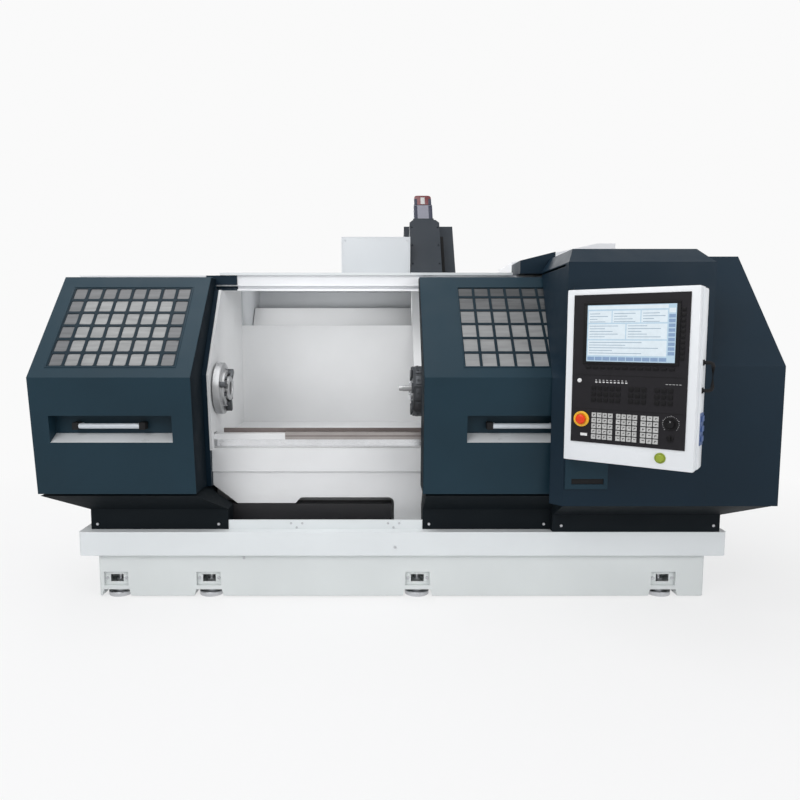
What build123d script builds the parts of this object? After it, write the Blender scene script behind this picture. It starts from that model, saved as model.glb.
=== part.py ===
"""Slant bed lathe with two sliding front doors, a swivelling control panel and a turret.

Millimetres. X runs along the spindle, to the right as the operator sees it, Y runs away from
the operator, and Z is up from the floor. The origin is on the floor, in the middle.
"""
import os
from math import atan2, cos, degrees, hypot, radians, sin

from build123d import *

# Levelling feet, one at each of these places along the front and again along the back
FOOT_X = (-1325, -893, 82, 1230)
FOOT_INSET = 62
PAD_RADIUS = 57
PAD_HEIGHT = 20
COLLAR_RADIUS = 26
STUD_RADIUS = 12
NUT_RADIUS = 23
NUT_HEIGHT = 18
STUD_TOP = 112

# Base frame, with a window in front of each foot
BASE_LEFT, BASE_RIGHT = -1405, 1420
BASE_FRONT, BASE_BACK = -425, 900
BASE_BOTTOM, BASE_TOP = 8, 208
FOOT_WINDOW_WIDTH = 113
FOOT_WINDOW_BOTTOM, FOOT_WINDOW_TOP = 57, 122
FOOT_WINDOW_DEPTH = 110
FOOT_ARCH_WIDTH = 140
FOOT_ARCH_TOP = 38
FOOT_ARCH_SLOPE = 10
FOOT_ARCH_DEPTH = 2 * FOOT_INSET

# Chip pan
PAN_LEFT, PAN_RIGHT = -1482, 1503
PAN_FRONT, PAN_BACK = -449, 925
PAN_TOP = 320
TROUGH_LEFT, TROUGH_RIGHT = -880, 60
TROUGH_FRONT, TROUGH_BACK = -375, -212
TROUGH_DEPTH = 60
CONVEYOR_GAP, CONVEYOR_HEIGHT = 90, 150

# Door outline from the side: bottom, knee and top of the outer face
DOOR_BOTTOM = (-510, 513)
DOOR_KNEE = (-559, 1039)
DOOR_TOP = (-150, 1503)
DOOR_DEPTH_LOW = 182
DOOR_DEPTH_TOP = 90
SHEET = 3
DOOR_CLEARANCE = 8

# Doors
LEFT_DOOR_LEFT, LEFT_DOOR_WIDTH = -1625, 709
RIGHT_DOOR_LEFT, RIGHT_DOOR_WIDTH = 100, 1100
LEFT_WINDOW_LEFT, RIGHT_WINDOW_LEFT = -1557, 280
WINDOW_COLUMNS, WINDOW_ROWS = 8, 6
WINDOW_PITCH_X, WINDOW_PITCH_UP = 70.4, 81
WINDOW_START = 60
WINDOW_BAR = 14
WINDOW_CORNER = 7
GRILLE_BORDER = 10
PANE = 4
LEFT_RECESS_LEFT, RIGHT_RECESS_LEFT = -1547, 291
RECESS_WIDTH = 540
RECESS_BOTTOM, RECESS_TOP = 750, 870
RECESS_DEPTH = 58
LIP_RISE = 34
HANDLE_START = 102
HANDLE_LENGTH = 300
HANDLE_RADIUS = 12
HANDLE_UP = 70
HANDLE_IN = 30
HANDLE_BLOCK = 26

# Top rail that carries the doors, and their shoes in its groove
RAIL_FRONT, RAIL_BACK = -45, 5
RAIL_BOTTOM, RAIL_TOP = 1445, 1520
RAIL_LEFT, RAIL_RIGHT = LEFT_DOOR_LEFT + 20, RIGHT_DOOR_LEFT + RIGHT_DOOR_WIDTH + 5
GROOVE_BOTTOM, GROOVE_TOP, GROOVE_DEPTH = 1452, 1468, 20
SHOE_CLEARANCE = 0.3
SHOE_WIDTH = 44
SHOE_REACH = 16
SHOE_TAB = 8

# Work area
WALL_X = -895
WALL = 12
RIGHT_WALL_X = 560
BACK_WALL_Y = 390
BACK_WALL_TOP = 1277
ROOF_SLOT = (440, 722)
FLOOR_Z = 722
FLOOR_THICK = 14
APRON_FRONT = -300
APRON_TOP = 680
APRON_STEP = 572
APRON_STEP_BACK = 12
APRON_BOTTOM = 415
APRON_LEFT, APRON_FOOT = -780, -25
APRON_THICK = 12
CUT_LEFT, CUT_TOP, CUT_SLOPE, CUT_RADIUS = -500, 443, 24, 28
APRON_RISE = 90
ROOF_FRONT = -60
ROOF_THICK = 13
WAY_FRONT, WAY_BACK = -300, -250
WAY_BOTTOM, WAY_TOP = 727, 761
WAY_RECESS = 28
APRON_LEDGE = 5
WAY_SPLIT = -545

# Spindle
SPINDLE_Y, SPINDLE_Z = -225, 966
PLATE_RADIUS = 124
PLATE_THICK = 28
PLATE_GAP = 9
NOSE_RADIUS = 54
BORE_RADIUS = 31
SHAFT_RADIUS = 72
SHAFT_LENGTH = 160
SHAFT_GAP = 0.3

# Turret and its slide, which leans back at this angle and passes through this point
SLIDE_ANGLE = 55
SLIDE_Y, SLIDE_Z = -95, 906
TURRET_Y, TURRET_Z = -130, 944
TURRET_X = 68
TURRET_RADIUS = 125
TURRET_THICK = 78
TURRET_SIDES = 12
TURRET_GAP = 0.3
HEAD_LENGTH = 225
HEAD_LOW, HEAD_HIGH = -120, 190
HEAD_FRONT, HEAD_BACK = 105, -100
RAM_LOW, RAM_TOP = -90, 715
RAM_THICK = 50
RAM_SIDE = 20
RAM_GAP = 8
TOOL_RADIUS = 9.5
TOOL_LENGTH = 60
TOOL_COLLAR_RADIUS, TOOL_COLLAR_LENGTH = 14, 36
TOOL_BLOCK = 44
TOOL_BLOCK_THICK = 9
TOOL_COUNT = 6

# Saddle behind the back wall, and what stands up through the roof on it
SADDLE_LEFT, SADDLE_RIGHT = 106, 356
WING_LEFT, WING_START_Z = 55, 1545
SADDLE_TOP_Z = 1893
SADDLE_HEEL_Z = 1440
SADDLE_THICK = 140
FOOT_THICK = 130
SADDLE_START_Y = 405
COLUMN_LEFT, COLUMN_RIGHT = 84, 262
COLUMN_START_Z = 1500
COLUMN_RISE = 343
COLUMN_TOP_Z = COLUMN_START_Z + COLUMN_RISE
COLUMN_CORNER = 22
COLUMN_THICK = 120
MOTOR_LEFT, MOTOR_RIGHT = 113, 225
MOTOR_LENGTH = 126
MOTOR_CAP = 86
CROSS_TRAVEL = 180
SIDE_BOX_LEFT, SIDE_BOX_RIGHT = -313, 80
SIDE_BOX_FRONT, SIDE_BOX_BACK = 430, 540
SIDE_BOX_BOTTOM, SIDE_BOX_TOP = 1560, 1780
BRACKET_START, BRACKET_HEIGHT, BRACKET_THICK, BRACKET_REACH = 60, 60, 30, 90

# Fixed covers
COVER_LEFT, COVER_RIGHT = -1615, -895
COVER_BOTTOM = 505
COVER_BACK = 300
COVER_TOP = 1515
GUARD_RIGHT = RIGHT_DOOR_LEFT + RIGHT_DOOR_WIDTH + DOOR_CLEARANCE - 1
REAR_LEFT, REAR_RIGHT = -1440, 1470
REAR_BACK = 1008
CREST_WIDTH = 60
HEADER_LENGTH, HEADER_THICK, HEADER_GAP = 104, 8, 5
REAR_TOP = 1500
POCKET_LEFT, POCKET_RIGHT = -880, 550
POCKET_SIDE = WALL + 40
REAR_PANEL = 60
WAY_CLEARANCE = 6
CREST_Z = 1390

# Control cabinet on the right
CABINET_LEFT = 694
CABINET_MARGIN = 111
CABINET_SPLIT = RIGHT_DOOR_LEFT + RIGHT_DOOR_WIDTH + CABINET_MARGIN
END_WIDTH = 314
CABINET_RIGHT = CABINET_SPLIT + END_WIDTH
CABINET_FRONT = -618
CABINET_BOTTOM = 486
CABINET_PLATE = 43
CABINET_TOP = 1525
CABINET_FLARE = 44
CABINET_OVERLAP = 6
END_KNEE = 1091
END_TOP = (-193, 1597)
HOOD_RISE = 66
HOOD_SETBACK = 95
HOOD_INSET = 42
HOOD_BACK = 95
HOOD_THICK = 5
WING_ROOF_LEFT, WING_ROOF_LOW, WING_ROOF_HIGH, WING_ROOF_REACH = 590, 1583, 1625, 66
LOW_PANEL_LEFT, LOW_PANEL_RIGHT = 701, 885
LOW_PANEL_BOTTOM, LOW_PANEL_TOP = 562, 690
LOW_PANEL_PROUD = 6
SLOT_LEFT, SLOT_RIGHT, SLOT_BOTTOM, SLOT_TOP = 729, 868, 583, 607

REAR_BOX_LEFT, REAR_BOX_BEND, REAR_BOX_RIGHT = CABINET_SPLIT - 671, CABINET_SPLIT - 201, CABINET_SPLIT - 101
REAR_BOX_LOW, REAR_BOX_HIGH = REAR_TOP + 122, REAR_TOP + 227
REAR_BOX_FRONT, REAR_BOX_DEPTH = 310, 420

# Skirts between the covers and the chip pan
SKIRT_FLANGE = 415
SKIRT_FRONT = -402
LEFT_SKIRT = (-1440, -800)
RIGHT_SKIRT = (105, 700)
CABINET_SKIRT = (700, 1470)
CABINET_SKIRT_FRONT = -445
CABINET_SKIRT_BEND = 400
SKIRT_BACK = 250
SILL_FRONT, SILL_THICK, SILL_TOP = -400, 8, 363

# Control panel, hung on two arms at its left edge and swung out by this angle
PANEL_PIVOT = (725, -656)
PANEL_SWING = 35.4
PANEL_WIDTH = 476
PANEL_DEPTH = 90
PANEL_EDGE = 18
PANEL_BOTTOM, PANEL_TOP = 710, 1403
PANEL_CUT = 34
PANEL_CORNER = 10
FACE_LEFT, FACE_RIGHT = 30, 464
FACE_BOTTOM, FACE_TOP = 80, 671
FACE_PROUD = 4
SCREEN_LEFT, SCREEN_RIGHT = 86, 417
SCREEN_BOTTOM, SCREEN_TOP = 408, 629
SCREEN_PROUD = 3
KEY_BLOCKS = ((115, 201), (211, 294), (304, 373))
KEY_COLUMNS = (4, 4, 3)
KEY_ROWS = 5
KEYS_BOTTOM, KEYS_TOP = 97, 207
KEY_GAP = 4
KEY_PROUD = 5
STOP_X, STOP_Z = 73, 174
STOP_RADIUS, STOP_STEM, STOP_HEIGHT = 21, 12, 34
STOP_COLLAR, STOP_COLLAR_THICK = 31, 4
STOP_HEAD_THICK = 12
PIN_RADIUS = 8
PIN_LENGTH = 30
PIN_GAP = 0.3
ARM_WIDTH = 36
ARM_THICK = 12
PANEL_HANDLE_LOW, PANEL_HANDLE_HIGH = 300, 416
PANEL_HANDLE_OUT = 42
PANEL_HANDLE_BAR = 12


def box(x0, x1, y0, y1, z0, z1):
    """Block between two corners."""
    return Pos((x0 + x1) / 2, (y0 + y1) / 2, (z0 + z1) / 2) * Box(x1 - x0, y1 - y0, z1 - z0)


def prism_x(outline, x0, x1):
    """Solid with a (y, z) outline that runs from x0 to x1."""
    wire = Polyline(*[(x0, y, z) for y, z in outline], close=True)
    return extrude(make_face(wire), x1 - x0, dir=(1, 0, 0))


def prism_z(outline, z0, z1):
    """Solid with an (x, y) outline that runs from z0 to z1."""
    wire = Polyline(*[(x, y, z0) for x, y in outline], close=True)
    return extrude(make_face(wire), z1 - z0, dir=(0, 0, 1))


def frustum(low, low_z, high, high_z):
    """Solid between two level rectangles, each given as x0, x1, y0, y1."""
    faces = []
    for (x0, x1, y0, y1), z in ((low, low_z), (high, high_z)):
        wire = Polyline((x0, y0, z), (x1, y0, z), (x1, y1, z), (x0, y1, z), close=True)
        faces.append(make_face(wire))
    return loft(faces, ruled=True)


def disc_x(y, z, radius, x0, x1):
    """Round bar along X."""
    return Pos((x0 + x1) / 2, y, z) * Rot(0, 90, 0) * Cylinder(radius, x1 - x0)


def inset(outline, depth):
    """The three points of a door outline, moved back into the machine by a sheet thickness."""
    (yb, zb), (yk, zk), (yt, zt) = outline
    low_slope = (yk - yb) / (zk - zb)
    high_slope = (yt - yk) / (zt - zk)
    low = depth * hypot(1, low_slope)
    high = depth * hypot(1, high_slope)
    knee_z = zk + (low - high) / (high_slope - low_slope)
    return [(yb + low, zb), (yk + low + (knee_z - zk) * low_slope, knee_z), (yt + high, zt)]


def y_at(outline, z):
    """Where a three point outline stands at a height."""
    (yb, zb), (yk, zk), (yt, zt) = outline
    if z < zk:
        return yb + (yk - yb) * (z - zb) / (zk - zb)
    return yk + (yt - yk) * (z - zk) / (zt - zk)


DOOR = [DOOR_BOTTOM, DOOR_KNEE, DOOR_TOP]
DOOR_REAR = [
    (DOOR_BOTTOM[0] + DOOR_DEPTH_LOW, DOOR_BOTTOM[1]),
    (DOOR_KNEE[0] + DOOR_DEPTH_LOW, DOOR_KNEE[1]),
    (DOOR_TOP[0] + DOOR_DEPTH_TOP, DOOR_TOP[1]),
]
GUARD_FACE = inset(DOOR_REAR, DOOR_CLEARANCE)


def levelling_feet():
    """Round pads with a collar, a threaded stud and a nut, under the base frame."""
    feet = []
    for y in (BASE_FRONT + FOOT_INSET, BASE_BACK - FOOT_INSET):
        for x in FOOT_X:
            pad = Pos(x, y, PAD_HEIGHT / 2) * Cylinder(PAD_RADIUS, PAD_HEIGHT)
            pad = chamfer(pad.edges().group_by(Axis.Z)[-1], 3)
            collar_height = FOOT_ARCH_TOP - PAD_HEIGHT
            collar = Pos(x, y, PAD_HEIGHT + collar_height / 2) * Cylinder(COLLAR_RADIUS, collar_height)
            stud_height = STUD_TOP - PAD_HEIGHT
            stud = Pos(x, y, PAD_HEIGHT + stud_height / 2) * Cylinder(STUD_RADIUS, stud_height)
            nut = extrude(Pos(x, y, FOOT_WINDOW_BOTTOM) * RegularPolygon(NUT_RADIUS, 6), NUT_HEIGHT)
            feet.append(pad + collar + stud + nut)
    return Compound(children=feet)


def base_frame():
    """Low welded frame with an arch and a window at every foot."""
    frame = box(BASE_LEFT, BASE_RIGHT, BASE_FRONT, BASE_BACK, BASE_BOTTOM, BASE_TOP)
    frame = chamfer(frame.edges().filter_by(Axis.Z), 10)
    for side in (1, -1):
        edge = BASE_FRONT if side == 1 else BASE_BACK
        foot_y = edge + side * FOOT_INSET
        y0, y1 = sorted((edge - side, edge + side * FOOT_ARCH_DEPTH))
        w0, w1 = sorted((edge - side, edge + side * FOOT_WINDOW_DEPTH))
        for x in FOOT_X:
            half = FOOT_WINDOW_WIDTH / 2
            frame -= box(x - half, x + half, w0, w1, FOOT_WINDOW_BOTTOM, FOOT_WINDOW_TOP)
            half = FOOT_ARCH_WIDTH / 2
            top = half - FOOT_ARCH_SLOPE
            arch = [(x - half, 0), (x + half, 0), (x + top, FOOT_ARCH_TOP), (x - top, FOOT_ARCH_TOP)]
            wire = Polyline(*[(px, y0, pz) for px, pz in arch], close=True)
            frame -= extrude(make_face(wire), y1 - y0, dir=(0, 1, 0))
            frame -= Pos(x, foot_y, FOOT_WINDOW_BOTTOM) * Cylinder(STUD_RADIUS, 2 * FOOT_ARCH_TOP)
    return frame


def chip_pan():
    """Wide shallow tray on the base frame, with a trough where the chips fall."""
    pan = box(PAN_LEFT, PAN_RIGHT, PAN_FRONT, PAN_BACK, BASE_TOP, PAN_TOP)
    pan = chamfer(pan.edges().filter_by(Axis.Z), 12)
    floor = PAN_TOP - TROUGH_DEPTH
    return pan - box(TROUGH_LEFT, TROUGH_RIGHT, TROUGH_FRONT, TROUGH_BACK, floor, PAN_TOP + 1)


def on_slide(up, out):
    """Point in (y, z), up along the slide from its base point and out from it to the front."""
    a = radians(SLIDE_ANGLE)
    return (SLIDE_Y + up * cos(a) - out * sin(a), SLIDE_Z + up * sin(a) + out * cos(a))


def up_at_z(z, out):
    """How far up the slide a given height is."""
    a = radians(SLIDE_ANGLE)
    return (z - SLIDE_Z - out * cos(a)) / sin(a)


def up_at_y(y, out):
    """How far up the slide a given depth is."""
    a = radians(SLIDE_ANGLE)
    return (y - SLIDE_Y + out * sin(a)) / cos(a)


RAM_BACK = HEAD_BACK - RAM_THICK
SADDLE_OUT = RAM_BACK - SHAFT_GAP
SADDLE_BACK = SADDLE_OUT - SADDLE_THICK
WAY_OUT = SADDLE_BACK - FOOT_THICK


def bed():
    """Casting with the slanted guideways behind the back wall."""
    start = on_slide(up_at_y(SADDLE_START_Y, WAY_OUT), WAY_OUT - SHAFT_GAP)
    crest = on_slide(up_at_z(CREST_Z, WAY_OUT), WAY_OUT - SHAFT_GAP)
    top = FLOOR_Z - FLOOR_THICK
    back = BACK_WALL_Y + WALL
    front = box(WALL_X, RIGHT_WALL_X, TROUGH_BACK, back, PAN_TOP, top)
    far = crest[0] + CREST_WIDTH
    outline = [(back, PAN_TOP), (back, top), (start[0], top), start, crest, (far, crest[1]), (far, PAN_TOP)]
    return front + prism_x(outline, POCKET_LEFT + WAY_CLEARANCE, POCKET_RIGHT - WAY_CLEARANCE)


def apron():
    """Front panel under the work area, with the chip outlet cut out of its lower edge."""
    front = [(APRON_LEFT, APRON_BOTTOM), (CUT_LEFT, APRON_BOTTOM), (CUT_LEFT + CUT_SLOPE, CUT_TOP),
             (APRON_FOOT, CUT_TOP), (APRON_FOOT, PAN_TOP), (RIGHT_WALL_X, PAN_TOP),
             (RIGHT_WALL_X, APRON_STEP), (WALL_X, APRON_STEP), (WALL_X, APRON_BOTTOM + APRON_RISE)]
    y = APRON_FRONT + APRON_STEP_BACK
    wire = Polyline(*[(x, y, z) for x, z in front], close=True)
    face = make_face(wire).face()
    round_ends = [v for v in face.vertices() if abs(v.Z - CUT_TOP) < 1]
    low = extrude(face.fillet_2d(CUT_RADIUS, round_ends), APRON_THICK, dir=(0, 1, 0))
    band = box(WALL_X, RIGHT_WALL_X, APRON_FRONT, y + APRON_THICK, APRON_STEP, APRON_TOP)
    return low + band


def work_floor():
    """Floor of the work area, stepping down to the apron behind the way covers."""
    recess = APRON_FRONT + WAY_RECESS
    under = FLOOR_Z - FLOOR_THICK
    back = recess + WALL
    outline = [(APRON_FRONT, APRON_TOP), (back, APRON_TOP), (back, under), (BACK_WALL_Y, under),
               (BACK_WALL_Y, FLOOR_Z), (WAY_BACK, FLOOR_Z), (WAY_BACK, WAY_BOTTOM), (recess, WAY_BOTTOM),
               (recess, APRON_TOP + APRON_LEDGE), (APRON_FRONT, APRON_TOP + APRON_LEDGE)]
    return prism_x(outline, WALL_X, RIGHT_WALL_X)


def way_cover(x0, x1, top):
    """One length of the low cover along the front of the work area."""
    return box(x0, x1, WAY_FRONT, WAY_BACK, WAY_BOTTOM, top)


def side_wall(x0):
    """End wall of the work area."""
    outline = [(y_at(GUARD_FACE, APRON_TOP), APRON_TOP), GUARD_FACE[1],
               (y_at(GUARD_FACE, RAIL_BOTTOM), RAIL_BOTTOM), (BACK_WALL_Y, RAIL_BOTTOM),
               (BACK_WALL_Y, FLOOR_Z), (WAY_BACK, FLOOR_Z), (WAY_BACK, WAY_TOP), (WAY_FRONT, WAY_TOP),
               (WAY_FRONT, APRON_TOP)]
    return prism_x(outline, x0, x0 + WALL)


def left_wall():
    """End wall on the spindle side, with the hole for the spindle."""
    hole = disc_x(SPINDLE_Y, SPINDLE_Z, SHAFT_RADIUS + SHAFT_GAP, WALL_X - 1, WALL_X + WALL + 1)
    return side_wall(WALL_X) - hole


def back_wall():
    """Rear wall of the work area."""
    right = RIGHT_WALL_X + WALL
    return box(WALL_X, right, BACK_WALL_Y, BACK_WALL_Y + WALL, FLOOR_Z - FLOOR_THICK, BACK_WALL_TOP)


def guard_block(x0, x1):
    """Closed cover behind a door's path, notched on top for the rail."""
    outline = [(GUARD_FACE[0][0], COVER_BOTTOM), GUARD_FACE[1],
               (y_at(GUARD_FACE, RAIL_BOTTOM), RAIL_BOTTOM), (RAIL_BACK, RAIL_BOTTOM),
               (RAIL_BACK, COVER_TOP), (COVER_BACK, COVER_TOP), (COVER_BACK, COVER_BOTTOM)]
    return prism_x(outline, x0, x1)


def headstock_cover():
    """Closed cover over the headstock, bored for the spindle."""
    depth = SHAFT_LENGTH + 2
    hole = disc_x(SPINDLE_Y, SPINDLE_Z, SHAFT_RADIUS + SHAFT_GAP, COVER_RIGHT - depth, COVER_RIGHT + 1)
    return guard_block(COVER_LEFT, COVER_RIGHT) - hole


def top_rail():
    """Grooved rail along the top that the doors hang from."""
    rail = box(RAIL_LEFT, RAIL_RIGHT, RAIL_FRONT, RAIL_BACK, RAIL_BOTTOM, RAIL_TOP)
    return rail - box(RAIL_LEFT - 1, RAIL_RIGHT + 1, RAIL_FRONT - 1, RAIL_FRONT + GROOVE_DEPTH,
                      GROOVE_BOTTOM, GROOVE_TOP)


def front_roof():
    """Roof plate over the work area, up to the slot that the saddle travels in."""
    return box(WALL_X, RIGHT_WALL_X + WALL, ROOF_FRONT, ROOF_SLOT[0], RAIL_TOP, RAIL_TOP + ROOF_THICK)


def rear_roof():
    """Roof plate behind the saddle's slot, on the rear covers."""
    right = POCKET_RIGHT + POCKET_SIDE
    return box(POCKET_LEFT, right, ROOF_SLOT[1], REAR_BACK, REAR_TOP, REAR_TOP + ROOF_THICK)


def header_plate():
    """Dark plate on the rail beside the left door."""
    x0 = LEFT_DOOR_LEFT + LEFT_DOOR_WIDTH
    front = RAIL_FRONT - HEADER_THICK
    return box(x0, x0 + HEADER_LENGTH, front, RAIL_FRONT, GROOVE_TOP + HEADER_GAP, RAIL_TOP)


def slope_plane(x):
    """Plane of the door's upper face, its y running up the slope from the knee."""
    up = (DOOR_TOP[0] - DOOR_KNEE[0], DOOR_TOP[1] - DOOR_KNEE[1])
    return Plane(origin=(x, DOOR_KNEE[0], DOOR_KNEE[1]), x_dir=(1, 0, 0), z_dir=(0, -up[1], up[0]))


def window_size():
    """Width and height of a window opening."""
    return WINDOW_COLUMNS * WINDOW_PITCH_X, WINDOW_ROWS * WINDOW_PITCH_UP


def door_shell(x0, width, window_left, recess_left):
    """Folded sheet door with an open back, a window opening, a handle pocket and rail shoes."""
    x1 = x0 + width
    shell = prism_x(DOOR + DOOR_REAR[::-1], x0, x1)
    inner = inset(DOOR, SHEET)
    low = (y_at(inner, DOOR_BOTTOM[1] + SHEET), DOOR_BOTTOM[1] + SHEET)
    high = (y_at(inner, DOOR_TOP[1] - SHEET), DOOR_TOP[1] - SHEET)
    hollow = [low, inner[1], high, (DOOR_REAR[2][0] + 1, high[1]),
              (DOOR_REAR[1][0] + 1, DOOR_REAR[1][1]), (DOOR_REAR[0][0] + 1, low[1])]
    shell -= prism_x(hollow, x0 + SHEET, x1 - SHEET)
    wide, high_side = window_size()
    centre = Pos(window_left - x0 + wide / 2, WINDOW_START + high_side / 2, 0)
    shell -= extrude(slope_plane(x0) * centre * Rectangle(wide, high_side), 2 * SHEET, both=True)
    pocket_y = y_at(DOOR, RECESS_BOTTOM)
    r0, r1 = recess_left, recess_left + RECESS_WIDTH
    shell -= box(r0, r1, pocket_y - 60, pocket_y + 2 * SHEET, RECESS_BOTTOM, RECESS_TOP)
    pocket = [(y_at(DOOR, RECESS_BOTTOM - SHEET), RECESS_BOTTOM - SHEET),
              (y_at(DOOR, RECESS_TOP + SHEET), RECESS_TOP + SHEET),
              (pocket_y + RECESS_DEPTH + SHEET, RECESS_TOP + SHEET),
              (pocket_y + RECESS_DEPTH + SHEET, RECESS_BOTTOM - SHEET)]
    hollow = box(r0, r1, pocket_y - 60, pocket_y + RECESS_DEPTH, RECESS_BOTTOM, RECESS_TOP)
    shell += prism_x(pocket, r0 - SHEET, r1 + SHEET) - hollow
    shoe_low, shoe_high = GROOVE_BOTTOM + SHOE_CLEARANCE, GROOVE_TOP - SHOE_CLEARANCE
    for x in (x0 + SHEET, x1 - SHEET - SHOE_WIDTH):
        tab_y = DOOR_REAR[2][0] - SHOE_TAB
        shell += box(x, x + SHOE_WIDTH, tab_y, DOOR_REAR[2][0], shoe_low, DOOR_TOP[1] - SHEET)
        shell += box(x, x + SHOE_WIDTH, tab_y, RAIL_FRONT + SHOE_REACH, shoe_low, shoe_high)
    return shell


def left_door():
    """Door in front of the headstock."""
    return door_shell(LEFT_DOOR_LEFT, LEFT_DOOR_WIDTH, LEFT_WINDOW_LEFT, LEFT_RECESS_LEFT)


def right_door():
    """Door that slides out from behind the control cabinet."""
    return door_shell(RIGHT_DOOR_LEFT, RIGHT_DOOR_WIDTH, RIGHT_WINDOW_LEFT, RIGHT_RECESS_LEFT)


def window_grille(window_left):
    """Punched sheet in a door's window opening."""
    wide, high_side = window_size()
    centre = Pos(wide / 2, WINDOW_START + high_side / 2, 0)
    cell = RectangleRounded(WINDOW_PITCH_X - WINDOW_BAR, WINDOW_PITCH_UP - WINDOW_BAR, WINDOW_CORNER)
    grid = GridLocations(WINDOW_PITCH_X, WINDOW_PITCH_UP, WINDOW_COLUMNS, WINDOW_ROWS)
    cells = [place * cell for place in grid]
    sheet = Rectangle(wide, high_side) - cells
    return extrude(slope_plane(window_left) * centre * sheet, -SHEET)


def window_pane(window_left):
    """Pane behind a window grille, a little larger than the opening."""
    wide, high_side = window_size()
    centre = Pos(wide / 2, WINDOW_START + high_side / 2, -SHEET)
    plate = Rectangle(wide + 2 * GRILLE_BORDER, high_side + 2 * GRILLE_BORDER)
    return extrude(slope_plane(window_left) * centre * plate, -PANE)


def door_handle(recess_left):
    """Bright bar between two blocks, and the sloping bright lip under it."""
    pocket_y = y_at(DOOR, RECESS_BOTTOM)
    back = pocket_y + RECESS_DEPTH
    x0 = recess_left + HANDLE_START
    z = RECESS_BOTTOM + HANDLE_UP
    y = pocket_y + HANDLE_IN
    bar = disc_x(y, z, HANDLE_RADIUS, x0, x0 + HANDLE_LENGTH)
    for x in (x0, x0 + HANDLE_LENGTH - HANDLE_BLOCK):
        bar += box(x, x + HANDLE_BLOCK, y, back, z - HANDLE_RADIUS, z + HANDLE_RADIUS)
    return bar


def door_lip(recess_left):
    """Bright sloping sill of a handle pocket."""
    pocket_y = y_at(DOOR, RECESS_BOTTOM)
    outline = [(pocket_y, RECESS_BOTTOM), (pocket_y + RECESS_DEPTH, RECESS_BOTTOM),
               (pocket_y + RECESS_DEPTH, RECESS_BOTTOM + LIP_RISE)]
    return prism_x(outline, recess_left, recess_left + RECESS_WIDTH)


def spindle():
    """Chuck back plate on the spindle shaft."""
    x0 = WALL_X + WALL + PLATE_GAP
    plate = disc_x(SPINDLE_Y, SPINDLE_Z, PLATE_RADIUS, x0, x0 + PLATE_THICK)
    nose = disc_x(SPINDLE_Y, SPINDLE_Z, NOSE_RADIUS, x0, x0 + PLATE_THICK + 14)
    shaft = disc_x(SPINDLE_Y, SPINDLE_Z, SHAFT_RADIUS, COVER_RIGHT - SHAFT_LENGTH, x0 + 1)
    bore = disc_x(SPINDLE_Y, SPINDLE_Z, BORE_RADIUS, COVER_RIGHT - SHAFT_LENGTH - 1, x0 + PLATE_THICK + 20)
    return plate + nose + shaft - bore


def turret_disc():
    """Indexing tool disc, a many sided plate."""
    turn = Rot(0, 90, 0) * Rot(0, 0, 180 / TURRET_SIDES)
    plate = extrude(Pos(TURRET_X, TURRET_Y, TURRET_Z) * turn * RegularPolygon(TURRET_RADIUS, TURRET_SIDES),
                    TURRET_THICK)
    return plate


def tool_places():
    """Centres of the tools in (y, z), the first one on the spindle's axis."""
    reach = hypot(SPINDLE_Y - TURRET_Y, SPINDLE_Z - TURRET_Z)
    first = atan2(SPINDLE_Z - TURRET_Z, SPINDLE_Y - TURRET_Y)
    step = radians(360 / TOOL_COUNT)
    return [(TURRET_Y + reach * cos(first + i * step), TURRET_Z + reach * sin(first + i * step))
            for i in range(TOOL_COUNT)]


def tool_holders():
    """Blocks on the disc's face, the one on the spindle's axis with a boring bar."""
    tools = []
    half = TOOL_BLOCK / 2
    for y, z in tool_places():
        turn = degrees(atan2(z - TURRET_Z, y - TURRET_Y))
        block = Box(TOOL_BLOCK_THICK, TOOL_BLOCK, TOOL_BLOCK)
        tools.append(Pos(TURRET_X - TOOL_BLOCK_THICK / 2, y, z) * Rot(turn, 0, 0) * block)
    front = TURRET_X - TOOL_BLOCK_THICK
    collar = disc_x(SPINDLE_Y, SPINDLE_Z, TOOL_COLLAR_RADIUS, front - TOOL_COLLAR_LENGTH, front)
    bar = disc_x(SPINDLE_Y, SPINDLE_Z, TOOL_RADIUS, front - TOOL_LENGTH, front)
    tools[0] = tools[0] + collar + bar
    return Compound(children=tools)


def turret_head():
    """Turret housing on the cross slide's ram."""
    x0 = TURRET_X + TURRET_THICK + TURRET_GAP
    x1 = x0 + HEAD_LENGTH
    head = prism_x([on_slide(HEAD_LOW, HEAD_FRONT), on_slide(HEAD_HIGH, HEAD_FRONT),
                    on_slide(HEAD_HIGH + 60, HEAD_BACK), on_slide(HEAD_LOW, HEAD_BACK)], x0, x1)
    return head


def slide_ram():
    """Flat slide that carries the turret up and down the saddle."""
    outline = [on_slide(RAM_LOW, HEAD_BACK), on_slide(RAM_TOP, HEAD_BACK), on_slide(RAM_TOP, RAM_BACK),
               on_slide(RAM_LOW, RAM_BACK)]
    return prism_x(outline, TURRET_X + TURRET_THICK + RAM_GAP, SADDLE_RIGHT - RAM_SIDE)


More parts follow.
